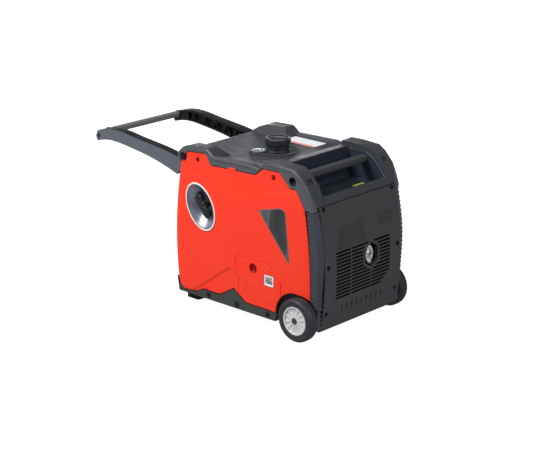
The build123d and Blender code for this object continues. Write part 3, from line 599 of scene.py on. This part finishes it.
def wheels():
    """Both wheels: tyre, faceted disc and a dark centre cap."""
    profile = [(46.9, 16), (45.8, 17.6), (43, 17.9), (41, 16.6), (39.5, 14.6), (26, 15.4),
               (14, 16.2), (10.6, 16.8), (9.4, 16), (9.2, -16), (14, -17), (43, -17),
               (46.9, -16)]
    cap = [(10.4, 12), (10.4, 17.6), (9.4, 18.5), (4.2, 18.9), (3.2, 17.6), (0.4, 17.4), (0.4, 12)]
    for side, axis, label in ((1, "Y", "left"), (-1, "-Y", "right")):
        centre = (WHEEL_X, side * 221.0, WHEEL_Z)
        body = f"wheel_{label}"
        turned(f"tyre_rubber_{label}", tyre_profile(), centre, axis, "tyre", body, "tyre",
               (f"tyre_{label}",), 96)
        turned(f"wheel_disc_{label}", profile, centre, axis, "hub", body, "hub_silver",
               (f"wheel_hub_{label}",), 12 * HUB_SECTORS, hub_face)
        turned(f"wheel_cap_{label}", cap, centre, axis, "cap_dark", body, "rubber", (), 40)


# ---- Recoil starter ----
DISH = (-179.0, -214.0, 344.0)
DISH_NARROWING = 0.72
DISH_LEAN = math.radians(30)
GRIP_LEAN = math.radians(41)
DISH_R = 82.0
BOWL_R = 76.0
BOWL_DEPTH = 36.0
BOWL_POWER = 2.2
GRIP_MIDDLE_Y = -198.5
ROPE_TURNS = 3
ROPE_LAY_R = 1.05
STRAND_R = 1.1


def leaning_oval(points):
    """Turned points about the dish's centre, narrowed and leaned into its oval."""
    result = []
    for x, y, z in points:
        across, up = (x - DISH[0]) * DISH_NARROWING, z - DISH[2]
        turned_x = across * math.cos(DISH_LEAN) - up * math.sin(DISH_LEAN)
        turned_z = across * math.sin(DISH_LEAN) + up * math.cos(DISH_LEAN)
        result.append((DISH[0] + turned_x, y, DISH[2] + turned_z))
    return result


def bowl_depth(radius):
    """Depth of the bowl at a radius: a nearly flat floor that rises steeply to the lip."""
    return -BOWL_DEPTH * (1 - (radius / BOWL_R) ** BOWL_POWER)


def starter():
    """Cream rim, silver bowl, finger grip and the rope from the bowl to the grip."""
    rim = [(BOWL_R + 1.5, -2.4), (BOWL_R, -1.4), (BOWL_R + 0.2, 0.2), (BOWL_R + 1.4, 1.0),
           (DISH_R - 2.0, 1.2), (DISH_R - 0.6, 0.4), (DISH_R, -1.2), (DISH_R, -2.6)]
    points, faces = turned_part(rim, DISH, "-Y", 120)
    lip = mesh_from("dish_rim", leaning_oval(points), faces)
    add_piece("dish_rim", lip, "rim", "housing", "dish_silver")
    steps = 18
    front = [(4.0 + (BOWL_R - 4.0) * k / steps, bowl_depth(4.0 + (BOWL_R - 4.0) * k / steps) - 0.6)
             for k in range(steps + 1)]
    back = [(radius, height - 2.4) for radius, height in reversed(front)]
    points, faces = turned_part(front + back, DISH, "-Y", 120)
    bowl = mesh_from("dish_bowl", leaning_oval(points), faces)
    add_piece("dish_bowl", bowl, "dish", "housing", "dish_silver", ("starter_dish",))
    eyelet = [(3.2, -34), (3.4, -31.6), (5.6, -30.6), (7.6, -31.6), (8, -34.5), (8, -36.5),
              (3.2, -36.5)]
    turned("rope_eyelet", eyelet, DISH, "-Y", "black", *TRIM, (), 32)
    grip_outline = [(-13, -42), (2, -43), (12, -38), (16.5, -29), (15, -18), (10.5, -13), (15, -8),
                    (17, 0), (15, 8), (10.5, 13), (15, 18), (16.5, 29), (12, 38), (2, 43), (-13, 42),
                    (-17, 34), (-17, -34)]
    grip_mesh = grip_shell(rounded(grip_outline, 5, 3))
    add_piece("pull_grip", grip_mesh, "grip_rubber", "starter_handle", "rubber", ("starter_grip",))
    rope()


def grip_shell(outline):
    """A pillow of an outline: full in the middle, rolled over at its edge."""
    rings = [(0.90, -6.4), (0.97, -5.4), (1, -3.2), (1, 3.2), (0.97, 5.2), (0.90, 6.4),
             (0.72, 7.4), (0.50, 7.9)]
    points = []
    for share, height in rings:
        for a, b in outline:
            x = a * share * math.cos(GRIP_LEAN) - b * share * math.sin(GRIP_LEAN)
            z = a * share * math.sin(GRIP_LEAN) + b * share * math.cos(GRIP_LEAN)
            points.append((DISH[0] + x, GRIP_MIDDLE_Y - height, DISH[2] + z))
    return mesh_from("pull_grip", points, loft_faces(len(rings), len(outline)))


def rope():
    """A laid rope of three strands between the bowl and the grip."""
    start_y, end_y = -160.0, -194.0
    steps, sides, strands = 60, 8, 3
    parts = []
    for strand in range(strands):
        points = []
        for step in range(steps + 1):
            share = step / steps
            turn = math.tau * (share * ROPE_TURNS + strand / strands)
            middle = (DISH[0] + ROPE_LAY_R * math.cos(turn), DISH[2] + ROPE_LAY_R * math.sin(turn))
            y = start_y + (end_y - start_y) * share
            for k in range(sides):
                angle = math.tau * k / sides
                points.append((middle[0] + STRAND_R * math.cos(angle), y,
                               middle[1] + STRAND_R * math.sin(angle)))
        parts.append((points, loft_faces(steps + 1, sides)))
    piece = add_group("pull_rope", parts, "rope", None, "rope", ("starter_rope",))
    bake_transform(piece)


# ---- Fuel cap and gauge ----
CAP = (-37.0, 0.0, 0.0)
GAUGE = (-75.0, -50.0, 0.0)
FLUTES = 20


def cap_shape(radius, height, angle):
    """Rounded finger flutes around the cap's skirt."""
    if radius > 38 and height < 556:
        radius -= 1.2 * (0.5 - 0.5 * math.cos(FLUTES * angle)) ** 2
    return radius, height


def fuel_filler():
    """Fluted cap, its neck ring and the gauge in its bezel under its lens."""
    shell = [(36.5, 536), (41, 536.2), (41.5, 537.5), (41.5, 552.5), (40.4, 555.6), (37.6, 557.4),
             (34.5, 557.2), (33.2, 555.6), (20, 556.2), (8, 556.6), (0.4, 556.8), (0.4, 552),
             (36.5, 551)]
    turned("fuel_cap_skirt", shell, CAP, "Z", "cap_black", "fuel_cap_grip",
           "charcoal_plastic", ("fuel_cap_shell",), 160, cap_shape)
    bar = rounded(rectangle(-30, 30, -5, 5), 4)
    bar = [(CAP[0] + a * 0.8 - b * 0.6, CAP[1] + a * 0.6 + b * 0.8) for a, b in bar]
    prism("fuel_cap_bar", bar, "Z", 555.6, 557.8, "cap_black", "fuel_cap_grip", "charcoal_plastic",
          radius=0.001)
    collar = [(35.3, 513), (39.5, 513), (41.5, 514.4), (41.5, 517.2), (40, 518.6), (37.5, 519),
              (37, 527), (38.6, 527.6), (38.6, 530.4), (37.4, 531.4), (35.3, 531.4)]
    turned("filler_collar", collar, CAP, "Z", "cap_black", *TRIM, (), 96)
    ring = [(21.5, 512.5), (21.5, 516.6), (22.6, 517.8), (26, 518), (28.4, 516.4), (29.6, 513.3),
            (29.6, 512.5)]
    turned("gauge_bezel", ring, GAUGE, "Z", "cap_black", *TRIM, (), 72)
    dial = [(0.4, 514), (21.6, 514), (21.6, 514.9), (0.4, 515.2)]
    turned("gauge_dial", dial, GAUGE, "Z", "dial", "housing", "hub_silver", ("fuel_gauge",), 48)
    pointer = [(-2, -4), (2, -4), (0.7, 16), (-0.7, 16)]
    pointer = [(GAUGE[0] + a * 0.7 - b * 0.7, GAUGE[1] + a * 0.7 + b * 0.7) for a, b in pointer]
    prism("gauge_pointer", pointer, "Z", 515.2, 515.8, "deep_red", "housing", "red_plastic",
          radius=0.0001)
    lens = [(0.4, 516.4), (21.8, 516.2), (22, 517.2), (18, 519.2), (12, 520.4), (6, 521),
            (0.4, 521.2)]
    turned("gauge_lens", lens, GAUGE, "Z", "lens", "housing", "clear", (), 48)


# ---- Exhaust end ----
OUTLET = (38, 236)
FLANGE_REACH = (18.5, 33)      # half width and half height of the diamond
FLANGE_POINT = 1.36              # 1 is a plain ellipse, 2 a diamond with straight sides
FLANGE_BOLT = 24.0
WING_ROWS = 7
WING_PITCH = 10.6
WING_Z = 292                     # lowest row
SURROUND_TOP = 318


def end_x(z):
    """X of the bowed end panel's face at a height."""
    share = (z - 235) / (196 if z > 235 else 167)
    return 326 - (28 if z > 235 else 12) * share ** 2


def exhaust_end():
    """Outlet flange with its bolts and spark screen, hexagonal surround and wing ribs."""
    y, z = OUTLET
    flange = []
    for k in range(40):
        angle = math.tau * k / 40
        wide, tall = (math.copysign(abs(part) ** FLANGE_POINT, part)
                      for part in (math.cos(angle), math.sin(angle)))
        flange.append((y + FLANGE_REACH[0] * wide, z + FLANGE_REACH[1] * tall))
    parts = [prism_part(flange, "X", 312.5, 317.2)]
    pipe = [(9.5, 295), (13, 295), (13, 319.2), (12.2, 320.4), (10.3, 320.4), (9.5, 319.2)]
    parts.append(turned_part(pipe, (0, y, z), "X", 48))
    piece = add_group("outlet_flange", parts, "bright_steel", "housing", "steel", ("exhaust_outlet",))
    soften(piece, 0.0006)
    screen = [(0.4, 316), (9.6, 316), (9.6, 317), (6, 318.2), (0.4, 318.8)]
    turned("spark_screen", screen, (0, y, z), "X", "screen", "housing", "dark_steel", (), 40)
    bolts = []
    for side in (-1, 1):
        head = [(0.4, 317), (5, 317), (5, 320.6), (4.2, 321.6), (0.4, 321.8)]
        bolts.append(turned_part(head, (0, y, z + side * FLANGE_BOLT), "X", 6))
        washer = [(2, 317), (6.8, 317), (6.8, 318.2), (2, 318.2)]
        bolts.append(turned_part(washer, (0, y, z + side * FLANGE_BOLT), "X", 24))
    add_group("outlet_bolts", bolts, "bright_steel", "housing", "steel")
    hexagon = [(math.sin(math.radians(60 * k)), 1.15 * math.cos(math.radians(60 * k))) for k in range(6)]
    section = [(36.4, 313), (36.6, 325.8), (38.6, 326), (42.2, 324), (42.2, 322), (38.4, 313)]
    points = []
    for radius, x in section:
        points += [(x, y + radius * a, z + radius * b) for a, b in hexagon]
    surround = mesh_from("outlet_surround", points, loft_faces(len(section), len(hexagon), True))
    piece = add_piece("outlet_surround", surround, "charcoal", *TRIM)
    soften(piece, SMALL_RADIUS)
    # A near-black sheet just behind the louvres: painted shade in the slots.
    baffle = [(298, 120), (300, 120), (304, 235), (298, 296), (296, 296), (301, 235)]
    parts = [prism_part(baffle, "Y", -150, -6), prism_part(baffle, "Y", 82, 150)]
    lower = [(298, 120), (300, 120), (303, 190), (301, 190)]
    parts.append(prism_part(lower, "Y", -6, 82))
    add_group("louvre_shade_sheet", parts, "shadow", *TRIM)
    wing_ribs()


def wing_ribs():
    """Low horizontal ribs on the upper wings of the end panel."""
    parts = []
    for row in range(WING_ROWS):
        z = WING_Z + WING_PITCH * row
        for low, high in ((-124 + 4 * row, 18 - 3 * row), (82, 148)):
            if z < SURROUND_TOP and low > 0:
                continue
            section = [(-0.3, -2.6), (0.35, -1), (0.35, 1), (-0.3, 2.6)]
            outline = [(end_x(z + dz) + dx, z + dz) for dx, dz in section]
            parts.append(prism_part(outline, "Y", low, high))
    add_group("wing_ribs", parts, "charcoal", *TRIM)


# ---- Screws ----
HATCH_SCREW = (49, 188)
TOP_SCREWS = ((-195, 497), (133, 501))
TRAY_SCREW_X = (-150, -23, 110)
TRAY_SCREW_Z = 49
END_SCREWS = ((164, 422), (167, 242), (168, 92))
CROSS = [(-0.8, 3.2), (0.8, 3.2), (0.8, 0.8), (3.2, 0.8), (3.2, -0.8), (0.8, -0.8), (0.8, -3.2),
         (-0.8, -3.2), (-0.8, -0.8), (-3.2, -0.8), (-3.2, 0.8), (-0.8, 0.8)]


def screw_heads(name, places, axis, look, slot, radius, replaces=()):
    """Pan-head cross-recess screws at (x, y, z) places, facing along an axis."""
    heads, crosses = [], []
    for x, y, z in places:
        profile = [(0.3, -1.6), (radius, -1.6), (radius, 0.0), (radius * 0.8, 0.9), (radius * 0.4, 1.3),
                   (0.3, 1.4)]
        heads.append(turned_part(profile, (x, y, z), axis, 24))
        sign = sum(AXES[axis][2])
        across, deep = (y, x) if axis[-1] == "X" else (x, y)
        outline = [(across + a, z + b) for a, b in CROSS]
        crosses.append(prism_part(outline, axis[-1], deep + sign * 1.0, deep + sign * 1.55))
    add_group(name, heads, look, "housing", slot, replaces)
    # The cross recesses are near-black painted shade.
    add_group(name + "_recesses", crosses, "painted_shade", "housing", slot)


def screws():
    """Red screws in the panels, dark ones along the tray and on the exhaust end."""
    for side, axis in SIDES:
        label = "starter" if side < 0 else "filter"
        places = [(x, side * 208.6, z) for x, z in TOP_SCREWS]
        screw_heads(f"panel_screws_{label}_side", places, axis, "screw_red", "screw_red", 6.2)
        places = [(HATCH_SCREW[0], side * 205.2, HATCH_SCREW[1])]
        screw_heads(f"hatch_screw_{label}_side", places, axis, "deep_red", "screw_red", 6.4)
        places = [(x, side * 210.2, TRAY_SCREW_Z) for x in TRAY_SCREW_X]
        screw_heads(f"tray_screws_{label}_side", places, axis, "black", "dark_steel", 5.2)
    places = [(end_x(z) - 1.8, side * y, z) for y, z in END_SCREWS for side in (-1, 1)]
    screw_heads("end_screws", places, "X", "dark_steel", "dark_steel", 4.6, ("cover_screws",))
    # Near-black rings round the end screws: painted shade in their pockets.
    profile = [(4.6, -2), (4.8, 0.1), (6.4, 0.25), (7.8, 0), (7.8, -2)]
    rings = [turned_part(profile, (end_x(z), side * y, z), "X", 28)
             for y, z in END_SCREWS for side in (-1, 1)]
    add_group("end_screw_shade_rings", rings, "shadow", *TRIM)
    # Near-black rings round the tray screws: painted shade in their pockets.
    profile = [(5.4, -1), (5.6, 0.9), (8.4, 1), (10, 0.1), (10, -1)]
    rings = [turned_part(profile, (x, side * 209.0, TRAY_SCREW_Z), axis, 28)
             for side, axis in SIDES for x in TRAY_SCREW_X]
    add_group("tray_screw_shade_rings", rings, "painted_shade", "housing", "tray_plastic")


# ---- Handle ----
def handle_trim():
    """Dark strip along the top of each arm as painted shade on its top face, tip plugs and end collars
    on the grip tube.
    """
    top = [(-682, 505), (-628, 519), (-594, 522), (-482, 511), (-373, 499), (-300, 486)]
    line = divided_line(top, 8)
    parts = []
    for side in (-1, 1):
        outline = line + [(x, z + 0.9) for x, z in reversed(line)]
        parts.append(prism_part(outline, "Y", side * 166.5, side * 196.5))
    soften(add_group("arm_top_shade", parts, "arm_top", "handle", "arm_plastic"), 0.0004)
    profile = [(0.4, -0.5), (6.5, -0.5), (6.5, 0.8), (5.6, 1.2), (4.6, 0.5), (0.4, 0.4)]
    plugs = turned_pair(profile, -676, 198, 489, 32)
    add_group("arm_tip_plugs", plugs, "black", "handle", "arm_plastic")
    profile = [(11.1, 0), (13.5, 0), (13.5, 3.5), (12.4, 5), (11.1, 5.4)]
    collars = [turned_part(profile, (-664, side * 165, 500), axis, 40)
               for side, axis in ((-1, "Y"), (1, "-Y"))]
    add_group("grip_collars", collars, "black", "handle", "arm_plastic")


def divided_line(points, steps):
    """An outline's edge with every run divided, its corners left where they are."""
    result = [points[0]]
    for start, end in zip(points, points[1:]):
        for step in range(1, steps + 1):
            share = step / steps
            result.append(tuple(a + (b - a) * share for a, b in zip(start, end)))
    return result


# ---- Top cover ----
def rail_hole_shade():
    """Near-black cups in the round holes of the rear rails: painted shade in the holes."""
    profile = [(14.4, 0.4), (13.2, 0.4), (12, -1), (11.4, -9), (0.3, -9.6), (0.3, -11),
               (14.4, -10.5)]
    add_group("rail_hole_shade", turned_pair(profile, 214, 209.0, 504, 48), "painted_shade", *TRIM)


# ---- Carrying recess ----
TUB_EDGE_Y = 150.0
RECESS_BEAD_R = 2.0


def bead(spine, radius, sides=10):
    """A round bead along a line of millimetre points, closed at both ends."""
    points = []
    for k, centre in enumerate(spine):
        ahead = (spine[min(k + 1, len(spine) - 1)] - spine[max(k - 1, 0)]).normalized()
        across = ahead.cross(Vector((0, 0, 1))).normalized()
        above = across.cross(ahead)
        for step in range(sides):
            angle = math.tau * step / sides
            points.append(tuple(centre + (across * math.cos(angle) + above * math.sin(angle)) * radius))
    return points, loft_faces(len(spine), sides)


def recess_details():
    """Floor ribs and the rolled edges of the recess."""
    parts = []
    for row in range(5):
        x = 152 + 14 * row
        outline = rounded(rectangle(x, x + 4, -120, 120), 2, 3)
        parts.append(prism_part(outline, "Z", 431.8, 433.4))
    # The floor ribs are near-black painted shade.
    add_group("recess_ribs", parts, "painted_shade", *TRIM)
    edge = [(206, 524), (222, 517.5), (238, 507.5), (252, 493.5), (264, 480), (274, 466), (282, 457.5)]
    parts = []
    for side in (-1, 1):
        y = side * (TUB_EDGE_Y - 1.6)
        spine = [Vector((x, y, z)) for x, z in edge] + [Vector((286.5, side * (TUB_EDGE_Y - 7), 455.8))]
        parts.append(bead(spine, RECESS_BEAD_R))
    add_group("recess_rim", parts, "rim_grey", *TRIM)


# ---- Control end ----
FACE_X = -275.0
BEZELS = [(-95, 395, 17.6, 22.0), (95, 395, 11.4, 16.0), (95, 330, 6.4, 9.5), (-95, 330, 6.4, 9.5),
          (0, 245, 28.2, 32.5), (40, 175, 14.2, 17.5)]    # Y, Z, inner and outer radius


def control_end():
    """Bezels, indicator lamps, screws and flap trims on the control plate."""
    rings = []
    for y, z, inner, outer in BEZELS:
        profile = [(inner, 0.0), (inner, 1.8), (inner + 0.8, 2.6), (outer - 1.2, 2.2), (outer, 0.8),
                   (outer, 0.0)]
        rings.append(turned_part(profile, (FACE_X, y, z), "-X", 56))
    add_group("control_bezels", rings, "steel", "housing", "steel")
    frame_outer = rounded(rectangle(-36, 36, 309, 361), 4)
    frame_inner = rounded(rectangle(-31, 31, 314, 356), 2)
    loops = [(FACE_X, frame_outer), (FACE_X - 2.4, frame_outer), (FACE_X - 2.4, frame_inner),
             (FACE_X, frame_inner)]
    points = [(x, y, z) for x, loop in loops for y, z in loop]
    bezel = mesh_from("display_frame", points, loft_faces(len(loops), len(frame_outer), True))
    add_piece("display_frame", bezel, "black", *TRIM)
    profile = [(0.3, 0), (3.2, 0), (3.2, 1.2), (2.4, 2.4), (0.3, 2.9)]
    lamps = [turned_part(profile, (FACE_X, y, 352), "-X", 24) for y in (-52, -62, -72)]
    add_group("indicator_lamps", lamps, "deep_red", "housing", "button_red")
    profile = [(0.3, 0), (4.5, 0), (4.2, 1.2), (2, 1.7), (0.3, 1.7)]
    heads = [turned_part(profile, (FACE_X, y, z), "-X", 24) for y in (-138, 138) for z in (152, 438)]
    add_group("plate_screws", heads, "steel", "housing", "dark_steel")
    for name, (y, z) in (("left", (80, 245)), ("right", (-80, 245))):
        lip = rounded(rectangle(y - 20, y + 20, z - 39.5, z - 36.5), 1.2)
        prism(f"flap_lip_{name}", lip, "X", FACE_X - 10.5, FACE_X - 7.5, "guard", f"flap_{name}",
              "guard_plastic", radius=0.0005)
        parts = []
        for row in range(5):
            low = z - 22 + 11 * row
            outline = rounded(rectangle(y - 18, y + 18, low, low + 3), 1.2, 3)
            parts.append(prism_part(outline, "X", FACE_X - 8.9, FACE_X - 7.7))
        add_group(f"flap_ribs_{name}", parts, "guard", f"flap_{name}", "guard_plastic")


# ---- Materials of the whole object ----
MATERIALS = {
    "red": moulded("red_plastic", (255, 60, 36), 0.42, 1800.0, 0.00003, 0.03, 0.0, 0.22),
    "deep_red": moulded("deep_red_plastic", (150, 2, 8), 0.45, 1800.0, 0.00003, 0.06, 0.0, 0.15),
    "charcoal": moulded("charcoal_plastic", (62, 64, 67), 0.5),
    # Top cover: outer rail faces lighter, deck and tops darker, as painted light and shade.
    "cover": shaded_two_tone("cover_plastic", (80, 84, 90), (60, 61, 67), 0.1755, 0.48, 0.35),
    "guard": moulded("guard_plastic", (64, 66, 78), 0.42, sheen=0.35),
    "tray": moulded("tray_plastic", (60, 66, 65), 0.55),
    # Handle arms: near-black pockets and tops are painted shade over the arms' grey.
    "arm": shaded_two_tone("arm_plastic", (94, 97, 107), (20, 21, 26), 0.1845, 0.5),
    "arm_top": moulded("arm_top_plastic", (30, 31, 33), 0.6),
    "grip": moulded("grip_foam", (112, 111, 115), 0.75, 900.0, 0.0002),
    "grip_rubber": moulded("grip_rubber", (30, 30, 31), 0.38, 1100.0, 0.00008, 0.1, 0.15),
    "black": moulded("black_plastic", (26, 26, 29), 0.45),
    "rim_grey": moulded("rolled_edge_plastic", (78, 84, 94), 0.4),
    "tub": moulded("recess_plastic", (42, 48, 60), 0.5),
    "cap_black": moulded("cap_plastic", (38, 40, 46), 0.36, 1500.0, 0.00005, 0.08, 0.1),
    "cap_dark": moulded("wheel_cap_plastic", (62, 63, 66), 0.45),
    # Near-black painted shade for holes, screw recesses, recess ribs and rings round screws.
    "painted_shade": moulded("shadow_plastic", (18, 19, 21), 0.7),
    # Near-black painted shade for the seams, screw pockets and the space behind the louvres.
    "shadow": moulded("painted_gap_shade", (14, 14, 16), 0.75, sheen=0.05),
    "rubber": moulded("black_rubber", (30, 30, 32), 0.7, 700.0, 0.0001),
    "tyre": moulded("tyre_rubber", (46, 47, 53), 0.5, 700.0, 0.0001, sheen=0.35),
    "rope": moulded("rope_fibre", (26, 26, 28), 0.85, 2600.0, 0.0003),
    "hub": moulded("hub_silver", (204, 204, 207), 0.34, 1400.0, 0.00004, 0.05, 0.2),
    "dish": metal("dish_silver", (140, 146, 160), 0.38, (1, 1, 1), 0.00002, 0.06),
    "rim": moulded("dish_rim", (250, 238, 228), 0.35, 1400.0, 0.00004, 0.04, 0.2),
    "steel": metal("steel", (150, 150, 153), 0.35, (1, 1, 6)),
    "bright_steel": metal("bright_steel", (226, 226, 230), 0.30, (1, 4, 1)),
    "dark_steel": metal("dark_steel", (52, 52, 56), 0.42),
    "screen": metal("spark_screen", (150, 150, 152), 0.5, (1, 1, 1), 0.0004, 0.4),
    "aluminium": metal("cast_aluminium", (176, 178, 180), 0.5),
    "brass": metal("brass", (190, 150, 80), 0.35),
    "foam": moulded("filter_foam", (110, 96, 60), 0.9, 500.0, 0.0005),
    "yellow": moulded("yellow_plastic", (214, 178, 30), 0.4),
    "screw_red": moulded("screw_red", (150, 4, 8), 0.45, sheen=0.15),
    # Badge: the stretched lighter streaks are a painted reflection on the glossy film.
    "badge": film_with_print_and_sheen("badge_film", [(0.40, (38, 40, 43)), (0.52, (50, 54, 57)),
                                    (0.60, (92, 97, 102)), (0.70, (52, 56, 60))],
                     5.5, (4.0, 1.0, 1.0), (0.0, 0.75, 0.0), 0.5),
    "badge_edge": moulded("badge_edge", (110, 104, 106), 0.4, 1500.0, 0.00002),
    "label_white": film_with_print_and_sheen("white_film", [(0.3, (240, 242, 246)), (0.7, (250, 251, 254))], 40.0),
    "label_grey": film_with_print_and_sheen("grey_film", [(0.3, (120, 118, 118)), (0.7, (140, 138, 138))], 40.0),
    "label_orange": film_with_print_and_sheen("orange_film", [(0.3, (236, 160, 132)), (0.7, (244, 176, 150))], 40.0),
    "label_yellow": film_with_print_and_sheen("yellow_film", [(0.40, (206, 214, 40)), (0.62, (222, 228, 120))], 90.0),
    "label_print": film_with_print_and_sheen("print_film", [(0.46, (70, 78, 82)), (0.58, (190, 196, 198))], 210.0),
    "dial": film_with_print_and_sheen("dial_film", [(0.35, (190, 206, 216)), (0.65, (226, 234, 240))], 120.0),
}
CAD_LOOKS = {                    # look and the frame's nodes that wear it; the rest are black
    "cover": "top_cover",
    "charcoal": "exhaust_end_cover control_end_cover carry_bar filler_escutcheon",
    "tub": "carry_recess_tub",
    "guard": "rear_corner_guards outlet_flap_left outlet_flap_right",
    "tray": "base_tray fuel_tank",
    "arm": "handle_arms",
    "grip": "handle_grip",
    "rubber": "front_feet fuel_cap_gasket engine_mounts",
    "dark_steel": "handle_pivot_bolts axle muffler rotor stator",
    "steel": "crankshaft spark_plug",
    "aluminium": "crankcase cylinder_head carburettor inverter_module",
    "brass": "parallel_jacks ground_stud",
    "foam": "air_filter_element",
    "screw_red": "engine_switch_knob",
    "yellow": "start_button oil_filler_cap",
    "arm_top": "control_plate",
}
PAINT = {node: look for look, nodes in CAD_LOOKS.items() for node in nodes.split()}


def clear_lens():
    """Clear polycarbonate with fine scratches."""
    nodes = Nodes("clear_lens")
    shader = nodes.shader
    tint = nodes.ramp(nodes.noise(30.0), [(0.3, srgb(214, 232, 244)), (0.7, srgb(236, 244, 250))])
    nodes.link(tint, shader.inputs["Base Color"])
    nodes.link(nodes.between(nodes.noise(200, 4), 0.04, 0.14), shader.inputs["Roughness"])
    nodes.bump([(nodes.noise(300, 3), 0.1, 0.00004)])
    shader.inputs["Transmission Weight"].default_value = 0.85
    shader.inputs["IOR"].default_value = 1.49
    return nodes.material


def dress_cad_nodes():
    """Gives every CAD node its material, welded edges and a small moulded radius."""
    for name, node in NODES.items():
        node.data.materials.clear()
        node.data.materials.append(MATERIALS[PAINT.get(name, "black")])
        soften(node, COVER_RADIUS)


# ---- Stage ----
CAMERA_AZIMUTH = 42.6
CAMERA_ELEVATION = 17.8
CAMERA_DISTANCE = 5.4224
CAMERA_LENS = 108.95
CAMERA_TARGET = at(-50.3, 0, 260.2)
FLOOR_GLOW = (0.16, 0.97)        # as the object is lit by it, and as it is seen
WORLD_GLOW = (0.22, 1)


def add_camera():
    """A long lens on the corner between the starter side and the exhaust end."""
    turn = math.radians(CAMERA_AZIMUTH)
    lift = math.radians(CAMERA_ELEVATION)
    away = Vector((math.sin(turn) * math.cos(lift), -math.cos(turn) * math.cos(lift), math.sin(lift)))
    camera = bpy.data.objects.new("camera", bpy.data.cameras.new("camera"))
    camera.data.lens = CAMERA_LENS
    camera.data.sensor_width = 36.0
    camera.location = CAMERA_TARGET + away * CAMERA_DISTANCE
    camera.rotation_euler = (-away).to_track_quat("-Z", "Y").to_euler()
    bpy.context.scene.collection.objects.link(camera)
    bpy.context.scene.camera = camera


def add_area(name, place, size, power, target=(BODY_X, 0, 0.3)):
    """One soft box aimed at the object."""
    light = bpy.data.lights.new(name, "AREA")
    light.shape = "RECTANGLE"
    light.size, light.size_y = size
    light.energy = power
    item = bpy.data.objects.new(name, light)
    item.location = place
    item.rotation_euler = (Vector(place) - Vector(target)).to_track_quat("Z", "Y").to_euler()
    bpy.context.scene.collection.objects.link(item)


def add_glow(tree, strengths, target):
    """A brightness that lights the object by one amount and is seen with another."""
    glow = tree.nodes.new("ShaderNodeMapRange")
    glow.inputs["To Min"].default_value = strengths[0]
    glow.inputs["To Max"].default_value = strengths[1]
    path = tree.nodes.new("ShaderNodeLightPath")
    tree.links.new(path.outputs["Is Camera Ray"], glow.inputs["Value"])
    tree.links.new(glow.outputs["Result"], target)


def add_stage():
    """Pale floor, white surroundings and four soft boxes."""
    mesh = bpy.data.meshes.new("floor")
    reach = 30.0
    corners = [(-reach, -reach, 0), (reach, -reach, 0), (reach, reach, 0), (-reach, reach, 0)]
    mesh.from_pydata(corners, [], [(0, 1, 2, 3)])
    floor = bpy.data.objects.new("floor", mesh)
    bpy.context.scene.collection.objects.link(floor)
    paper = Nodes("floor_paper")
    tones = [(0.3, (0.30, 0.30, 0.30, 1)), (0.7, (0.33, 0.33, 0.33, 1))]
    paper.link(paper.ramp(paper.noise(3.0), tones), paper.shader.inputs["Base Color"])
    paper.shader.inputs["Roughness"].default_value = 0.9
    paper.shader.inputs["Specular IOR Level"].default_value = 0.1
    paper.shader.inputs["Emission Color"].default_value = (1, 1, 1, 1)
    add_glow(paper.tree, FLOOR_GLOW, paper.shader.inputs["Emission Strength"])
    mesh.materials.append(paper.material)
    world = bpy.data.worlds.new("studio")
    world.use_nodes = True
    background = world.node_tree.nodes["Background"]
    background.inputs["Color"].default_value = (1, 1, 1, 1)
    add_glow(world.node_tree, WORLD_GLOW, background.inputs["Strength"])
    bpy.context.scene.world = world
    add_area("key", (-1.2, -2.7, 3.4), (1.6, 1.2), 172)
    add_area("fill", (3.4, -0.4, 2.2), (2, 2), 54)
    add_area("back", (-2.6, 3.2, 0.6), (2.4, 1), 40)
    add_area("top", (0.2, 0.5, 3.6), (2.4, 2.4), 6)
    bpy.context.scene.view_settings.view_transform = "Standard"


MATERIALS["lens"] = clear_lens()
dress_cad_nodes()
red_panels()
panel_seams()
decals()
wheels()
starter()
fuel_filler()
exhaust_end()
screws()
handle_trim()
rail_hole_shade()
recess_details()
control_end()
add_camera()
add_stage()
